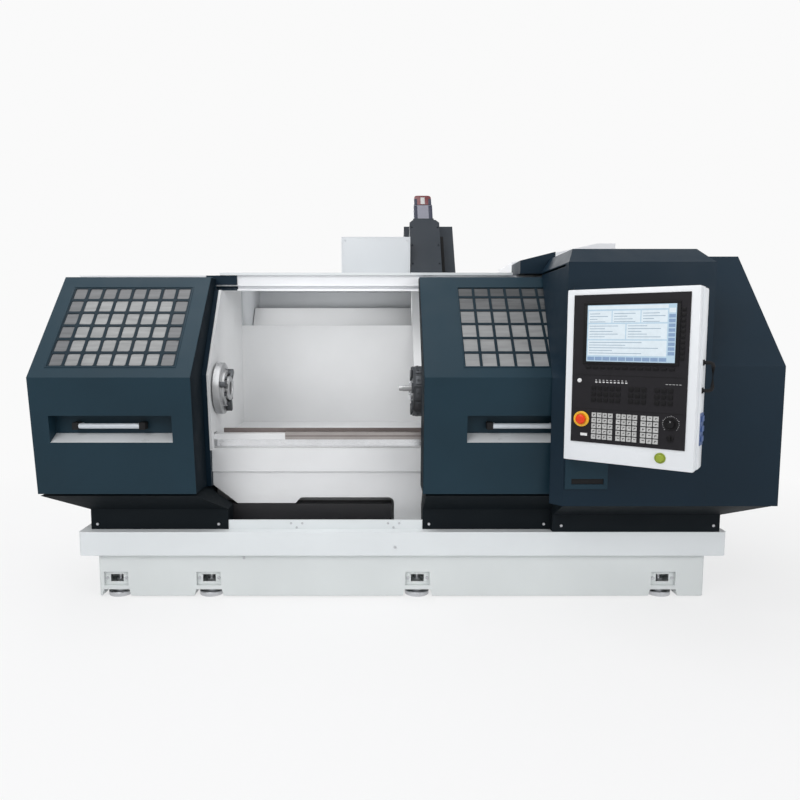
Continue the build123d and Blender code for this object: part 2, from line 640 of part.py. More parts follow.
def saddle():
    """Saddle on the slanted guideways, reaching up through the roof."""
    clear_z = BACK_WALL_TOP + 18
    start = on_slide(up_at_z(clear_z, SADDLE_OUT), SADDLE_OUT)
    top = on_slide(up_at_z(SADDLE_TOP_Z, SADDLE_OUT), SADDLE_OUT)
    top_back = on_slide(up_at_z(SADDLE_TOP_Z, SADDLE_OUT), SADDLE_BACK)
    bend = on_slide(up_at_z(SADDLE_HEEL_Z, SADDLE_BACK), SADDLE_BACK)
    heel = on_slide(up_at_z(SADDLE_HEEL_Z, SADDLE_BACK), WAY_OUT)
    toe = on_slide(up_at_y(SADDLE_START_Y + 20, WAY_OUT), WAY_OUT)
    front = SADDLE_START_Y + 5
    outline = [start, top, top_back, bend, heel, toe, (front, toe[1]), (front, clear_z)]
    wing = up_at_z(WING_START_Z, SADDLE_BACK)
    upper = [on_slide(wing, SADDLE_OUT), top, top_back, on_slide(wing, SADDLE_BACK)]
    return prism_x(outline, SADDLE_LEFT, SADDLE_RIGHT) + prism_x(upper, WING_LEFT, SADDLE_LEFT + 1)


def slide_column():
    """Dark cover over the drive of the cross slide."""
    start = up_at_z(COLUMN_START_Z, SADDLE_OUT)
    top = up_at_z(COLUMN_TOP_Z, SADDLE_OUT)
    cover = prism_x([on_slide(start + 60, SADDLE_OUT), on_slide(start, SADDLE_OUT + COLUMN_THICK),
                     on_slide(top, SADDLE_OUT + COLUMN_THICK), on_slide(top, SADDLE_OUT)],
                    COLUMN_LEFT, COLUMN_RIGHT)
    cover = chamfer(cover.edges().filter_by(lambda e: abs(e.tangent_at(0.5).X) < 0.01).sort_by(Axis.Z)[-2:],
                    COLUMN_CORNER)
    ram_top = RAM_TOP + CROSS_TRAVEL + 2 * RAM_GAP
    channel = prism_x([on_slide(start - 1, SADDLE_OUT - 1), on_slide(ram_top, SADDLE_OUT - 1),
                       on_slide(ram_top, HEAD_BACK + RAM_GAP), on_slide(start - 1, HEAD_BACK + RAM_GAP)],
                      TURRET_X + TURRET_THICK, COLUMN_RIGHT + 1)
    return cover - channel


def motor_block(start, length, shrink):
    """Length of the motor along the slide's direction."""
    base = up_at_z(COLUMN_TOP_Z, SADDLE_OUT)
    mid = SADDLE_OUT + COLUMN_THICK / 2
    half = (MOTOR_RIGHT - MOTOR_LEFT) / 2 - shrink
    outline = [on_slide(base + start, mid - half), on_slide(base + start, mid + half),
               on_slide(base + start + length, mid + half), on_slide(base + start + length, mid - half)]
    return prism_x(outline, MOTOR_LEFT + shrink, MOTOR_RIGHT - shrink)


def side_box():
    """Pale box beside the column, on a bracket."""
    low, high = SIDE_BOX_BOTTOM, SIDE_BOX_TOP
    case = box(SIDE_BOX_LEFT, SIDE_BOX_RIGHT, SIDE_BOX_FRONT, SIDE_BOX_BACK, low, high)
    z0, z1 = low + BRACKET_START, low + BRACKET_START + BRACKET_HEIGHT
    back = on_slide(up_at_z(z0, SADDLE_OUT), SADDLE_OUT)[0] + BRACKET_REACH
    return case + box(WING_LEFT - BRACKET_THICK, WING_LEFT, SIDE_BOX_BACK, back, z0, z1)


def rear_block(x0, x1):
    """Closed rear housing beside the saddle's path."""
    return box(x0, x1, COVER_BACK, REAR_BACK, PAN_TOP, REAR_TOP)


def rear_left_housing():
    """Rear housing behind the headstock."""
    notch = box(WALL_X, POCKET_LEFT + 1, COVER_BACK - 1, BACK_WALL_Y + WALL, PAN_TOP - 1, REAR_TOP + 1)
    return rear_block(REAR_LEFT, POCKET_LEFT) - notch


def rear_right_housing():
    """Rear housing behind the control cabinet."""
    return rear_block(POCKET_RIGHT + POCKET_SIDE, REAR_RIGHT)


def rear_panel():
    """Rear cover between the two rear housings."""
    right = POCKET_RIGHT + POCKET_SIDE
    return box(POCKET_LEFT, right, REAR_BACK - REAR_PANEL, REAR_BACK, PAN_TOP, REAR_TOP)


def skirt(span, flange_front, top_span, top_front, top_z, bend_z):
    """Sloping skirt with an upright flange on the chip pan."""
    low = (span[0], span[1], flange_front, SKIRT_BACK)
    high = (top_span[0], top_span[1], top_front, SKIRT_BACK)
    body = box(*low, PAN_TOP, bend_z) + frustum(low, bend_z, high, top_z)
    return body - box(WALL_X, RIGHT_WALL_X, APRON_FRONT, SKIRT_BACK + 1, PAN_TOP - 1, top_z + 1)


def left_skirt():
    """Skirt under the headstock cover."""
    top = (COVER_LEFT, LEFT_DOOR_LEFT + LEFT_DOOR_WIDTH - DOOR_CLEARANCE)
    return skirt(LEFT_SKIRT, SKIRT_FRONT, top, DOOR_BOTTOM[0], COVER_BOTTOM, SKIRT_FLANGE)


def right_skirt():
    """Skirt under the right door."""
    top = (RIGHT_SKIRT[0] + DOOR_CLEARANCE, RIGHT_SKIRT[1])
    return skirt(RIGHT_SKIRT, SKIRT_FRONT, top, DOOR_BOTTOM[0], COVER_BOTTOM, SKIRT_FLANGE)


def cabinet_skirt():
    """Skirt under the control cabinet and the end cover."""
    top = (CABINET_SKIRT[0], CABINET_RIGHT - 10)
    front = CABINET_FRONT + DOOR_CLEARANCE
    return skirt(CABINET_SKIRT, CABINET_SKIRT_FRONT, top, front, CABINET_BOTTOM, CABINET_SKIRT_BEND)


def front_sill():
    """Strip along the front of the chip outlet."""
    return box(LEFT_SKIRT[1], RIGHT_SKIRT[0], SILL_FRONT, SILL_FRONT + SILL_THICK, PAN_TOP, SILL_TOP)


def chip_conveyor():
    """Dark conveyor trough under the apron."""
    y0, z0 = TROUGH_FRONT + CONVEYOR_GAP, PAN_TOP - TROUGH_DEPTH
    return box(TROUGH_LEFT, APRON_FOOT - WALL, y0, TROUGH_BACK, z0, z0 + CONVEYOR_HEIGHT)


def control_cabinet():
    """Front plate of the control cabinet, with the flare that follows the door on its left."""
    back = CABINET_FRONT + CABINET_PLATE
    plate = box(CABINET_LEFT, CABINET_SPLIT, CABINET_FRONT, back, CABINET_BOTTOM, CABINET_TOP)
    gap_y = DOOR_KNEE[0] - DOOR_CLEARANCE
    knee_z = DOOR_KNEE[1]
    flare = CABINET_LEFT - CABINET_FLARE
    corners = [(CABINET_LEFT, CABINET_FRONT), (CABINET_LEFT, gap_y), (flare, gap_y)]
    low = prism_z(corners, CABINET_BOTTOM, knee_z)
    top_z, top_y = DOOR_TOP[1] + DOOR_CLEARANCE, DOOR_TOP[0] - 2 * DOOR_CLEARANCE
    inner = CABINET_LEFT + CABINET_OVERLAP
    faces = []
    for z, y, x in ((knee_z, gap_y, flare), (top_z, top_y, CABINET_LEFT - 2)):
        corners = [(inner, CABINET_FRONT, z), (inner, y, z), (x, y, z), (CABINET_LEFT, CABINET_FRONT, z)]
        faces.append(make_face(Polyline(*corners, close=True)))
    high = loft(faces, ruled=True)
    return plate + low + high


def end_cover():
    """Right end cover, with the same slope as the doors."""
    outline = [(CABINET_FRONT, CABINET_BOTTOM), (CABINET_FRONT, END_KNEE), END_TOP, (COVER_BACK, END_TOP[1]),
               (COVER_BACK, CABINET_BOTTOM)]
    end = prism_x(outline, CABINET_SPLIT, CABINET_RIGHT)
    left = RIGHT_DOOR_LEFT + RIGHT_DOOR_WIDTH + DOOR_CLEARANCE
    front = CABINET_FRONT + CABINET_PLATE
    side = box(left, CABINET_SPLIT, front, COVER_BACK, CABINET_BOTTOM, CABINET_TOP - HOOD_THICK)
    return end + side


def cabinet_hood():
    """Hipped hood on the control cabinet, with its wedge over the door."""
    under = CABINET_TOP - HOOD_THICK
    low = (CABINET_LEFT, CABINET_SPLIT, CABINET_FRONT, HOOD_BACK)
    top_front = CABINET_FRONT + HOOD_SETBACK
    high = (CABINET_LEFT + HOOD_INSET, CABINET_SPLIT - HOOD_INSET, top_front, HOOD_BACK - 20)
    front = CABINET_FRONT + CABINET_PLATE
    lid = box(CABINET_LEFT, CABINET_SPLIT, front, HOOD_BACK, under, CABINET_TOP)
    right = CABINET_LEFT + WING_ROOF_REACH
    left = WING_ROOF_LEFT
    wedge = [(left, under), (left, WING_ROOF_LOW), (right, WING_ROOF_HIGH), (right, under)]
    wire = Polyline(*[(x, DOOR_TOP[0], z) for x, z in wedge], close=True)
    wing = extrude(make_face(wire), HOOD_BACK - 30 - DOOR_TOP[0], dir=(0, 1, 0))
    return lid + frustum(low, CABINET_TOP, high, CABINET_TOP + HOOD_RISE) + wing


def rear_top_box():
    """Pale box with a sloping top on the right rear housing."""
    points = [(REAR_BOX_LEFT, REAR_TOP), (REAR_BOX_LEFT, REAR_BOX_LOW), (REAR_BOX_BEND, REAR_BOX_HIGH),
              (REAR_BOX_RIGHT, REAR_BOX_HIGH), (REAR_BOX_RIGHT, REAR_TOP)]
    wire = Polyline(*[(x, REAR_BOX_FRONT, z) for x, z in points], close=True)
    return extrude(make_face(wire), REAR_BOX_DEPTH, dir=(0, 1, 0))


def cabinet_low_panel():
    """Raised panel low on the cabinet's front, with a finger slot."""
    panel = box(LOW_PANEL_LEFT, LOW_PANEL_RIGHT, CABINET_FRONT - LOW_PANEL_PROUD, CABINET_FRONT,
                LOW_PANEL_BOTTOM, LOW_PANEL_TOP)
    return panel - box(SLOT_LEFT, SLOT_RIGHT, CABINET_FRONT - LOW_PANEL_PROUD - 1, CABINET_FRONT - 1,
                       SLOT_BOTTOM, SLOT_TOP)


def panel_place():
    """Places what is drawn upright, width along X and front to -Y, at the swung panel."""
    return Pos(*PANEL_PIVOT, 0) * Rot(0, 0, -PANEL_SWING)


def panel_case():
    """White case of the control panel, with one lower corner cut off and bores for its pins."""
    x0, x1 = -PANEL_EDGE, PANEL_WIDTH - PANEL_EDGE
    front = PANEL_EDGE - PANEL_DEPTH
    low, cut = PANEL_BOTTOM, PANEL_CUT
    corners = [(x0, low), (x1 - cut, low), (x1, low + cut), (x1, PANEL_TOP), (x0, PANEL_TOP)]
    wire = Polyline(*[(x, front, z) for x, z in corners], close=True)
    case = extrude(make_face(wire), PANEL_DEPTH, dir=(0, 1, 0))
    case = fillet(case.edges().filter_by(Axis.Y), PANEL_CORNER)
    for z in (PANEL_BOTTOM, PANEL_TOP):
        case -= Pos(0, 0, z) * Cylinder(PIN_RADIUS + PIN_GAP, 2 * PIN_LENGTH + 4)
    return panel_place() * case


def panel_arms():
    """Two arms on the cabinet with the pins that the control panel swings on."""
    arms = []
    px, py = PANEL_PIVOT
    for z, side in ((PANEL_BOTTOM, -1), (PANEL_TOP, 1)):
        z0, z1 = sorted((z + side * PIN_GAP, z + side * (PIN_GAP + ARM_THICK)))
        arm = box(px - ARM_WIDTH / 2, px + ARM_WIDTH / 2, py - ARM_WIDTH / 2, CABINET_FRONT, z0, z1)
        pin = Cylinder(PIN_RADIUS, PIN_LENGTH + 2 * PIN_GAP)
        pin = Pos(px, py, z - side * (PIN_LENGTH / 2 - PIN_GAP)) * pin
        arms.append(arm + pin)
    return Compound(children=arms)


def panel_plate(x0, x1, z0, z1, back, thick):
    """Flat plate on the panel, given from its lower left corner."""
    front = PANEL_EDGE - PANEL_DEPTH
    return box(x0 - PANEL_EDGE, x1 - PANEL_EDGE, front - back - thick, front - back,
               PANEL_BOTTOM + z0, PANEL_BOTTOM + z1)


def panel_face():
    """Dark face plate."""
    return panel_place() * panel_plate(FACE_LEFT, FACE_RIGHT, FACE_BOTTOM, FACE_TOP, 0, FACE_PROUD)


def panel_screen():
    """Screen."""
    plate = panel_plate(SCREEN_LEFT, SCREEN_RIGHT, SCREEN_BOTTOM, SCREEN_TOP, FACE_PROUD, SCREEN_PROUD)
    return panel_place() * plate


def panel_keys():
    """Blocks of square keys."""
    keys = []
    tall = (KEYS_TOP - KEYS_BOTTOM) / KEY_ROWS
    for (x0, x1), columns in zip(KEY_BLOCKS, KEY_COLUMNS):
        wide = (x1 - x0) / columns
        for i in range(columns):
            for j in range(KEY_ROWS):
                x, z = x0 + i * wide, KEYS_BOTTOM + j * tall
                key = panel_plate(x, x + wide - KEY_GAP, z, z + tall - KEY_GAP, FACE_PROUD, KEY_PROUD)
                keys.append(key)
    return panel_place() * Compound(children=keys)


def stop_button(radius, start, length):
    """Round piece of the emergency stop, standing out from the face."""
    front = PANEL_EDGE - PANEL_DEPTH - FACE_PROUD
    place = Pos(STOP_X - PANEL_EDGE, front - start - length / 2, PANEL_BOTTOM + STOP_Z) * Rot(90, 0, 0)
    return place * Cylinder(radius, length)


def stop_collar():
    """Yellow collar of the emergency stop."""
    return panel_place() * stop_button(STOP_COLLAR, 0, STOP_COLLAR_THICK)


def stop_head():
    """Red mushroom head of the emergency stop."""
    stem = stop_button(STOP_STEM, STOP_COLLAR_THICK, STOP_HEIGHT - STOP_HEAD_THICK - STOP_COLLAR_THICK)
    head = stop_button(STOP_RADIUS, STOP_HEIGHT - STOP_HEAD_THICK, STOP_HEAD_THICK)
    return panel_place() * (stem + head)


def panel_handle():
    """Grab handle on the panel's free edge."""
    x0 = PANEL_WIDTH - PANEL_EDGE
    x1 = x0 + PANEL_HANDLE_OUT
    y0 = PANEL_EDGE - PANEL_DEPTH + 24
    y1 = y0 + PANEL_HANDLE_BAR
    z0, z1 = PANEL_BOTTOM + PANEL_HANDLE_LOW, PANEL_BOTTOM + PANEL_HANDLE_HIGH
    bar = box(x1 - PANEL_HANDLE_BAR, x1, y0, y1, z0, z1)
    for z in (z0, z1 - PANEL_HANDLE_BAR):
        bar += box(x0, x1, y0, y1, z, z + PANEL_HANDLE_BAR)
    return panel_place() * bar


NODES = {
    "levelling_feet": levelling_feet,
    "base_frame": base_frame,
    "chip_pan": chip_pan,
    "bed": bed,
    "apron": apron,
    "work_floor": work_floor,
    "way_cover_black": lambda: way_cover(WAY_SPLIT, RIGHT_WALL_X, WAY_TOP),
    "way_cover_bright": lambda: way_cover(WALL_X + WALL, WAY_SPLIT, WAY_TOP - 8),
    "left_wall": left_wall,
    "right_wall": lambda: side_wall(RIGHT_WALL_X),
    "back_wall": back_wall,
    "headstock_cover": headstock_cover,
    "right_guard": lambda: guard_block(RIGHT_WALL_X + WALL, GUARD_RIGHT),
    "top_rail": top_rail,
    "front_roof": front_roof,
    "header_plate": header_plate,
    "left_skirt": left_skirt,
    "right_skirt": right_skirt,
    "cabinet_skirt": cabinet_skirt,
    "front_sill": front_sill,
    "chip_conveyor": chip_conveyor,
    "rear_left_housing": rear_left_housing,
    "rear_right_housing": rear_right_housing,
    "rear_panel": rear_panel,
    "control_cabinet": control_cabinet,
    "end_cover": end_cover,
    "cabinet_hood": cabinet_hood,
    "cabinet_low_panel": cabinet_low_panel,
    "rear_top_box": rear_top_box,
    "rear_roof": rear_roof,
    "panel_arms": panel_arms,
    "left_door": left_door,
    "left_door_grille": lambda: window_grille(LEFT_WINDOW_LEFT),
    "left_door_pane": lambda: window_pane(LEFT_WINDOW_LEFT),
    "left_door_handle": lambda: door_handle(LEFT_RECESS_LEFT),
    "left_door_lip": lambda: door_lip(LEFT_RECESS_LEFT),
    "right_door": right_door,
    "right_door_grille": lambda: window_grille(RIGHT_WINDOW_LEFT),
    "right_door_pane": lambda: window_pane(RIGHT_WINDOW_LEFT),
    "right_door_handle": lambda: door_handle(RIGHT_RECESS_LEFT),
    "right_door_lip": lambda: door_lip(RIGHT_RECESS_LEFT),
    "spindle": spindle,
    "saddle": saddle,
    "slide_column": slide_column,
    "slide_motor": lambda: motor_block(0, MOTOR_LENGTH, 0),
    "motor_cap": lambda: motor_block(MOTOR_LENGTH, MOTOR_CAP, 4),
    "side_box": side_box,
    "slide_ram": slide_ram,
    "turret_head": turret_head,
    "turret_disc": turret_disc,
    "tool_holders": tool_holders,
    "panel_case": panel_case,
    "panel_face": panel_face,
    "panel_screen": panel_screen,
    "panel_keys": panel_keys,
    "stop_collar": stop_collar,
    "stop_head": stop_head,
    "panel_handle": panel_handle,
}

os.makedirs("parts", exist_ok=True)
for node, make in NODES.items():
    shape = make()
    shape.label = node
    export_step(shape, f"parts/{node}.step")
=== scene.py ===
"""Looks of the slant bed lathe: materials, small fittings, light and camera.

Metres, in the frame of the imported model: X to the right, Y away from the operator, Z up.
"""
from math import cos, pi, radians, sin

import bmesh
import bpy
from mathutils import Matrix, Vector


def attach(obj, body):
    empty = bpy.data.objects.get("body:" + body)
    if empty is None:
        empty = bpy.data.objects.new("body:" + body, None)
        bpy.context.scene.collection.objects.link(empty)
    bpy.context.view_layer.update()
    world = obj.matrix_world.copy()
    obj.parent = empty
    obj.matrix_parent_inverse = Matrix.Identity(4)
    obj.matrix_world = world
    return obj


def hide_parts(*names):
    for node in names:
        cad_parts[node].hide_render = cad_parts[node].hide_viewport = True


# The camera that fits the photograph: 660 pixels of focal length on an 800 pixel frame
CAMERA = (-0.093, -3.411, 1.222)
CAMERA_DOWN = 5.62
SENSOR = 36
CAMERA_LENS = SENSOR * 660 / 800
CAMERA_SHIFT_X = 0.025

# Edges that bend by more than this stay sharp
SHARP = radians(32)

# Door outline and the places on it
KNEE = Vector((0, -0.559, 1.039))
SLOPE_TOP = Vector((0, -0.150, 1.503))
DOOR_BOTTOM_Y, DOOR_BOTTOM_Z = -0.510, 0.513
LEFT_DOOR_RIGHT, RIGHT_DOOR_LEFT = -0.916, 0.100
LEFT_WINDOW, RIGHT_WINDOW = -1.557, 0.280
WINDOW_SIZE = (0.5632, 0.486)
WINDOW_START = 0.060
LEFT_RECESS, RIGHT_RECESS = -1.547, 0.291
RECESS_MIDDLE = 0.750
HANDLE_INSET, HANDLE_LENGTH = 0.102, 0.300

# Control panel: hinge, swing, the size of its case and places on its face
PANEL_PIVOT = (0.725, -0.656)
PANEL_SWING = 35.4
PANEL_EDGE = 0.018
PANEL_DEPTH = 0.090
PANEL_BOTTOM = 0.710
PANEL_WIDTH, PANEL_HEIGHT = 0.496, 0.693
SHELL_BACK, SHELL_STEP = 0.033, 0.009
FACE_PROUD, SCREEN_PROUD, KEY_PROUD = 0.004, 0.003, 0.005
STOP_AT, DIAL_AT, SWITCH_AT = (0.073, 0.174), (0.412, 0.178), (0.412, 0.122)

# Spindle and turret: their axes along X, in Y and Z, and the X of their faces
SPINDLE = (-0.225, 0.966)
SPINDLE_FACE = -0.846
TURRET = (-0.130, 0.944)
TURRET_FACE = 0.068
TURRET_RADIUS, TURRET_SIDES = 0.125, 12

# The inclined slide: a point on it, its angle, and the column and motor that stand on the saddle
SLIDE = (-0.095, 0.906)
SLIDE_ANGLE = 55
SADDLE_OUT = -0.1503
SADDLE_LEFT = 0.106
COLUMN = (0.084, 0.262)
COLUMN_THICK = 0.120
COLUMN_FRONT, COLUMN_TOP = SADDLE_OUT + COLUMN_THICK, 1.843
MOTOR_LEFT, MOTOR_SIDE, MOTOR_AXIS = 0.113, 0.112, -0.060
MOTOR_LENGTH, MOTOR_CAP = 0.126, 0.086
ROOF_SLOT = (0.440, 0.722)

# Feet, the windows of the base frame over them, and the rear face of the housings
FOOT_X = (-1.325, -0.893, 0.082, 1.230)
FOOT_WINDOW = 0.0565
BASE_FRONT, BASE_BACK = -0.425, 0.900
REAR_FACE = 1.008
SHEET = 0.003
LOUVRE_PITCH = 0.032


# Shader graphs


def new_material(name, colour, rough, metal=0.0):
    """Principled material, its node tree and its shader."""
    mat = bpy.data.materials.new(name)
    mat.use_nodes = True
    tree = mat.node_tree
    shader = tree.nodes["Principled BSDF"]
    shader.inputs["Base Color"].default_value = (*colour, 1)
    shader.inputs["Roughness"].default_value = rough
    shader.inputs["Metallic"].default_value = metal
    return mat, tree, shader


def noise(tree, scale, detail=4.0, stretch=(1, 1, 1)):
    """Noise over the object's own coordinates."""
    coords = tree.nodes.new("ShaderNodeTexCoord")
    mapping = tree.nodes.new("ShaderNodeMapping")
    mapping.inputs["Scale"].default_value = stretch
    texture = tree.nodes.new("ShaderNodeTexNoise")
    texture.inputs["Scale"].default_value = scale
    texture.inputs["Detail"].default_value = detail
    tree.links.new(coords.outputs["Object"], mapping.inputs["Vector"])
    tree.links.new(mapping.outputs["Vector"], texture.inputs["Vector"])
    return texture.outputs["Fac"]


def remap(tree, value, low, high, start=0.3, stop=0.7):
    """Stretches a noise value between two numbers."""
    node = tree.nodes.new("ShaderNodeMapRange")
    node.inputs["From Min"].default_value = start
    node.inputs["From Max"].default_value = stop
    node.inputs["To Min"].default_value = low
    node.inputs["To Max"].default_value = high
    tree.links.new(value, node.inputs["Value"])
    return node.outputs["Result"]


def blend_colours(tree, factor, first, second):
    """Mixes two colours by a value."""
    node = tree.nodes.new("ShaderNodeMix")
    node.data_type = "RGBA"
    node.inputs["A"].default_value = (*first, 1)
    node.inputs["B"].default_value = (*second, 1)
    tree.links.new(factor, node.inputs["Factor"])
    return node.outputs["Result"]


def relief(tree, shader, height, distance, strength=1.0, rounding=0.0):
    """Bump from a height, over edges that are rounded for the light."""
    bump = tree.nodes.new("ShaderNodeBump")
    bump.inputs["Distance"].default_value = distance
    bump.inputs["Strength"].default_value = strength
    tree.links.new(height, bump.inputs["Height"])
    if rounding:
        bevel = tree.nodes.new("ShaderNodeBevel")
        bevel.samples = 4
        bevel.inputs["Radius"].default_value = rounding
        tree.links.new(bevel.outputs["Normal"], bump.inputs["Normal"])
    tree.links.new(bump.outputs["Normal"], shader.inputs["Normal"])


def shade(colour, amount):
    """A colour made lighter or darker."""
    return tuple(min(1, c * amount) for c in colour)


def powder_coat(name, colour, rough=0.42, rounding=0.002, spread=0.10, gloss=0.45):
    """Baked paint: fine orange peel, faint patches, duller where it is handled."""
    mat, tree, shader = new_material(name, colour, rough)
    patches = remap(tree, noise(tree, 2.2, 5), 0, 1)
    tone = blend_colours(tree, patches, shade(colour, 1 - spread), shade(colour, 1 + spread))
    tree.links.new(tone, shader.inputs["Base Color"])
    wear = remap(tree, noise(tree, 7.0, 6), rough - 0.06, rough + 0.08)
    tree.links.new(wear, shader.inputs["Roughness"])
    relief(tree, shader, noise(tree, 420, 2), 0.00025, 0.35, rounding)
    shader.inputs["Specular IOR Level"].default_value = gloss
    return mat


def brushed(name, colour, rough=0.28, stretch=(4, 220, 220), rounding=0.0008):
    """Bright metal with brush marks along one axis."""
    mat, tree, shader = new_material(name, colour, rough, 1.0)
    marks = noise(tree, 6, 3, stretch)
    tree.links.new(remap(tree, marks, rough - 0.1, rough + 0.12), shader.inputs["Roughness"])
    patches = remap(tree, noise(tree, 9, 4), 0, 1)
    tone = blend_colours(tree, patches, shade(colour, 0.9), shade(colour, 1.05))
    tree.links.new(tone, shader.inputs["Base Color"])
    relief(tree, shader, marks, 0.00008, 0.4, rounding)
    return mat


def plastic(name, colour, rough=0.4, grain=900, gloss=0.5):
    """Moulded plastic with a fine spark-eroded grain."""
    mat, tree, shader = new_material(name, colour, rough)
    shader.inputs["Specular IOR Level"].default_value = gloss
    patches = remap(tree, noise(tree, 30, 3), 0, 1)
    tone = blend_colours(tree, patches, shade(colour, 0.94), shade(colour, 1.06))
    tree.links.new(tone, shader.inputs["Base Color"])
    relief(tree, shader, noise(tree, grain, 1), 0.0001, 0.3, 0.0008)
    return mat


def window_sheet(name, dark, pale):
    """Safety sheet in a grey whose tone paints the light and shade seen through it, wiped in
    streaks.
    """
    mat, tree, shader = new_material(name, dark, 0.22)
    streaks = noise(tree, 6, 6, (1, 9, 9))
    tone = blend_colours(tree, remap(tree, streaks, 0, 1), dark, pale)
    tree.links.new(tone, shader.inputs["Base Color"])
    tree.links.new(remap(tree, streaks, 0.30, 0.42), shader.inputs["Roughness"])
    shader.inputs["Transmission Weight"].default_value = 0.15
    shader.inputs["IOR"].default_value = 1.49
    return mat


def lit(name, colour, strength):
    """Surface of the screen, with its own faint light and a fine pixel grain."""
    mat, tree, shader = new_material(name, shade(colour, 0.15), 0.3)
    tone = blend_colours(tree, remap(tree, noise(tree, 60, 2), 0, 1), shade(colour, 0.92), colour)
    tree.links.new(tone, shader.inputs["Emission Color"])
    shader.inputs["Emission Strength"].default_value = strength
    return mat


# Mesh pieces


def moved(x, y, z):
    """Frame moved along its own axes."""
    return Matrix.Translation((x, y, z))


def spun(share, axis="Z"):
    """Frame turned about an axis by a share of a full turn."""
    return Matrix.Rotation(2 * pi * share, 4, axis)


def round_edges(part, width):
    """Bevels every edge of a part."""
    bmesh.ops.bevel(part, geom=part.edges[:], offset=width, segments=2, profile=0.6,
                    affect="EDGES")


class Piece:
    """Collects bevelled blocks and turned shapes into one mesh."""

    def __init__(self, name):
        self.name = name
        self.mesh = bmesh.new()

    def _add(self, part, place):
        """Moves a finished part to its place and joins it to the mesh."""
        bmesh.ops.transform(part, matrix=place, verts=part.verts)
        bmesh.ops.recalc_face_normals(part, faces=part.faces)
        data = bpy.data.meshes.new("part")
        part.to_mesh(data)
        part.free()
        self.mesh.from_mesh(data)
        bpy.data.meshes.remove(data)

    def block(self, low, high, bevel=0.0, place=Matrix()):
        """Box between two corners, with rounded edges."""
        part = bmesh.new()
        bmesh.ops.create_cube(part, size=1)
        size = [b - a for a, b in zip(low, high)]
        middle = [(a + b) / 2 for a, b in zip(low, high)]
        fitted = moved(*middle) @ Matrix.Diagonal((*size, 1))
        bmesh.ops.transform(part, matrix=fitted, verts=part.verts)
        if bevel:
            round_edges(part, bevel)
        self._add(part, place)
        return self

    def turned(self, profile, place=Matrix(), sides=40):
        """Shape turned about Z from (radius, height) points, closed where it meets the axis."""
        part = bmesh.new()
        rings = []
        for radius, height in profile:
            if radius < 1e-6:
                rings.append([part.verts.new((0, 0, height))])
                continue
            turn = [2 * pi * i / sides for i in range(sides)]
            rings.append([part.verts.new((radius * cos(a), radius * sin(a), height)) for a in turn])
        for low, high in zip(rings, rings[1:]):
            for i in range(sides):
                j = (i + 1) % sides
                corners = [ring[k % len(ring)]
                           for ring, k in ((low, i), (low, j), (high, j), (high, i))]
                corners = list(dict.fromkeys(corners))
                if len(corners) > 2:
                    part.faces.new(corners)
        self._add(part, place)
        return self

    def bolt(self, place, radius, height=None):
        """Socket head screw with a recess, standing on the place's Z axis."""
        h = height or radius
        profile = [(radius, 0), (radius, h * 0.82), (radius * 0.9, h), (radius * 0.55, h),
                   (radius * 0.5, h * 0.45), (0, h * 0.45)]
        return self.turned(profile, place, 20)

    def prism(self, outline, start, stop, place=Matrix(), bevel=0.0):
        """Solid with an (x, y) outline between two heights."""
        part = bmesh.new()
        face = part.faces.new([part.verts.new((x, y, start)) for x, y in outline])
        made = bmesh.ops.extrude_face_region(part, geom=[face])
        up = [v for v in made["geom"] if isinstance(v, bmesh.types.BMVert)]
        bmesh.ops.translate(part, verts=up, vec=(0, 0, stop - start))
        if bevel:
            round_edges(part, bevel)
        self._add(part, place)
        return self

    def tube(self, path, radius, sides=14):
        """Round tube along points."""
        points = [Vector(p) for p in path]
        part = bmesh.new()
        rings = []
        for i, point in enumerate(points):
            ahead = (points[min(i + 1, len(points) - 1)] - points[max(i - 1, 0)]).normalized()
            turn = ahead.to_track_quat("Z", "Y").to_matrix()
            angles = [2 * pi * k / sides for k in range(sides)]
            ring = [turn @ Vector((radius * cos(a), radius * sin(a), 0)) for a in angles]
            rings.append([part.verts.new(point + corner) for corner in ring])
        for low, high in zip(rings, rings[1:]):
            for k in range(sides):
                following = (k + 1) % sides
                part.faces.new([low[k], low[following], high[following], high[k]])
        part.faces.new(rings[0][::-1])
        part.faces.new(rings[-1])
        self._add(part, Matrix())
        return self

    def done(self, material, body, slot, *replaced):
        """Makes the object, gives it its material and fixes it to a body."""
        for face in self.mesh.faces:
            face.smooth = True
        for edge in self.mesh.edges:
            edge.smooth = edge.is_manifold and edge.calc_face_angle() < SHARP
        data = bpy.data.meshes.new(self.name)
        self.mesh.to_mesh(data)
        self.mesh.free()
        obj = bpy.data.objects.new(self.name, data)
        bpy.context.scene.collection.objects.link(obj)
        data.materials.append(material)
        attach(obj, body)
        if replaced:
            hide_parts(*replaced)
        return obj


def facing(x, y, z, direction):
    """Place whose Z axis points along a direction."""
    return moved(x, y, z) @ Vector(direction).to_track_quat("Z", "Y").to_matrix().to_4x4()


def on_slope(x, up, out=0.0):
    """Point on the doors' upper face: along X, up the slope from the knee, out of the face."""
    along = (SLOPE_TOP - KNEE).normalized()
    normal = Vector((0, -along.z, along.y))
    return Vector((x, 0, 0)) + KNEE + along * up + normal * out


def slope_matrix(x):
    """Frame on the doors' upper face, X to the right, Y up the slope, Z outwards."""
    along = (SLOPE_TOP - KNEE).normalized()
    normal = Vector((0, -along.z, along.y))
    place = Matrix((Vector((1, 0, 0)), along, normal)).transposed().to_4x4()
    place.translation = on_slope(x, 0)
    return place


PANEL_PLACE = moved(*PANEL_PIVOT, PANEL_BOTTOM) @ spun(-PANEL_SWING / 360)
FACE_Y = PANEL_EDGE - PANEL_DEPTH


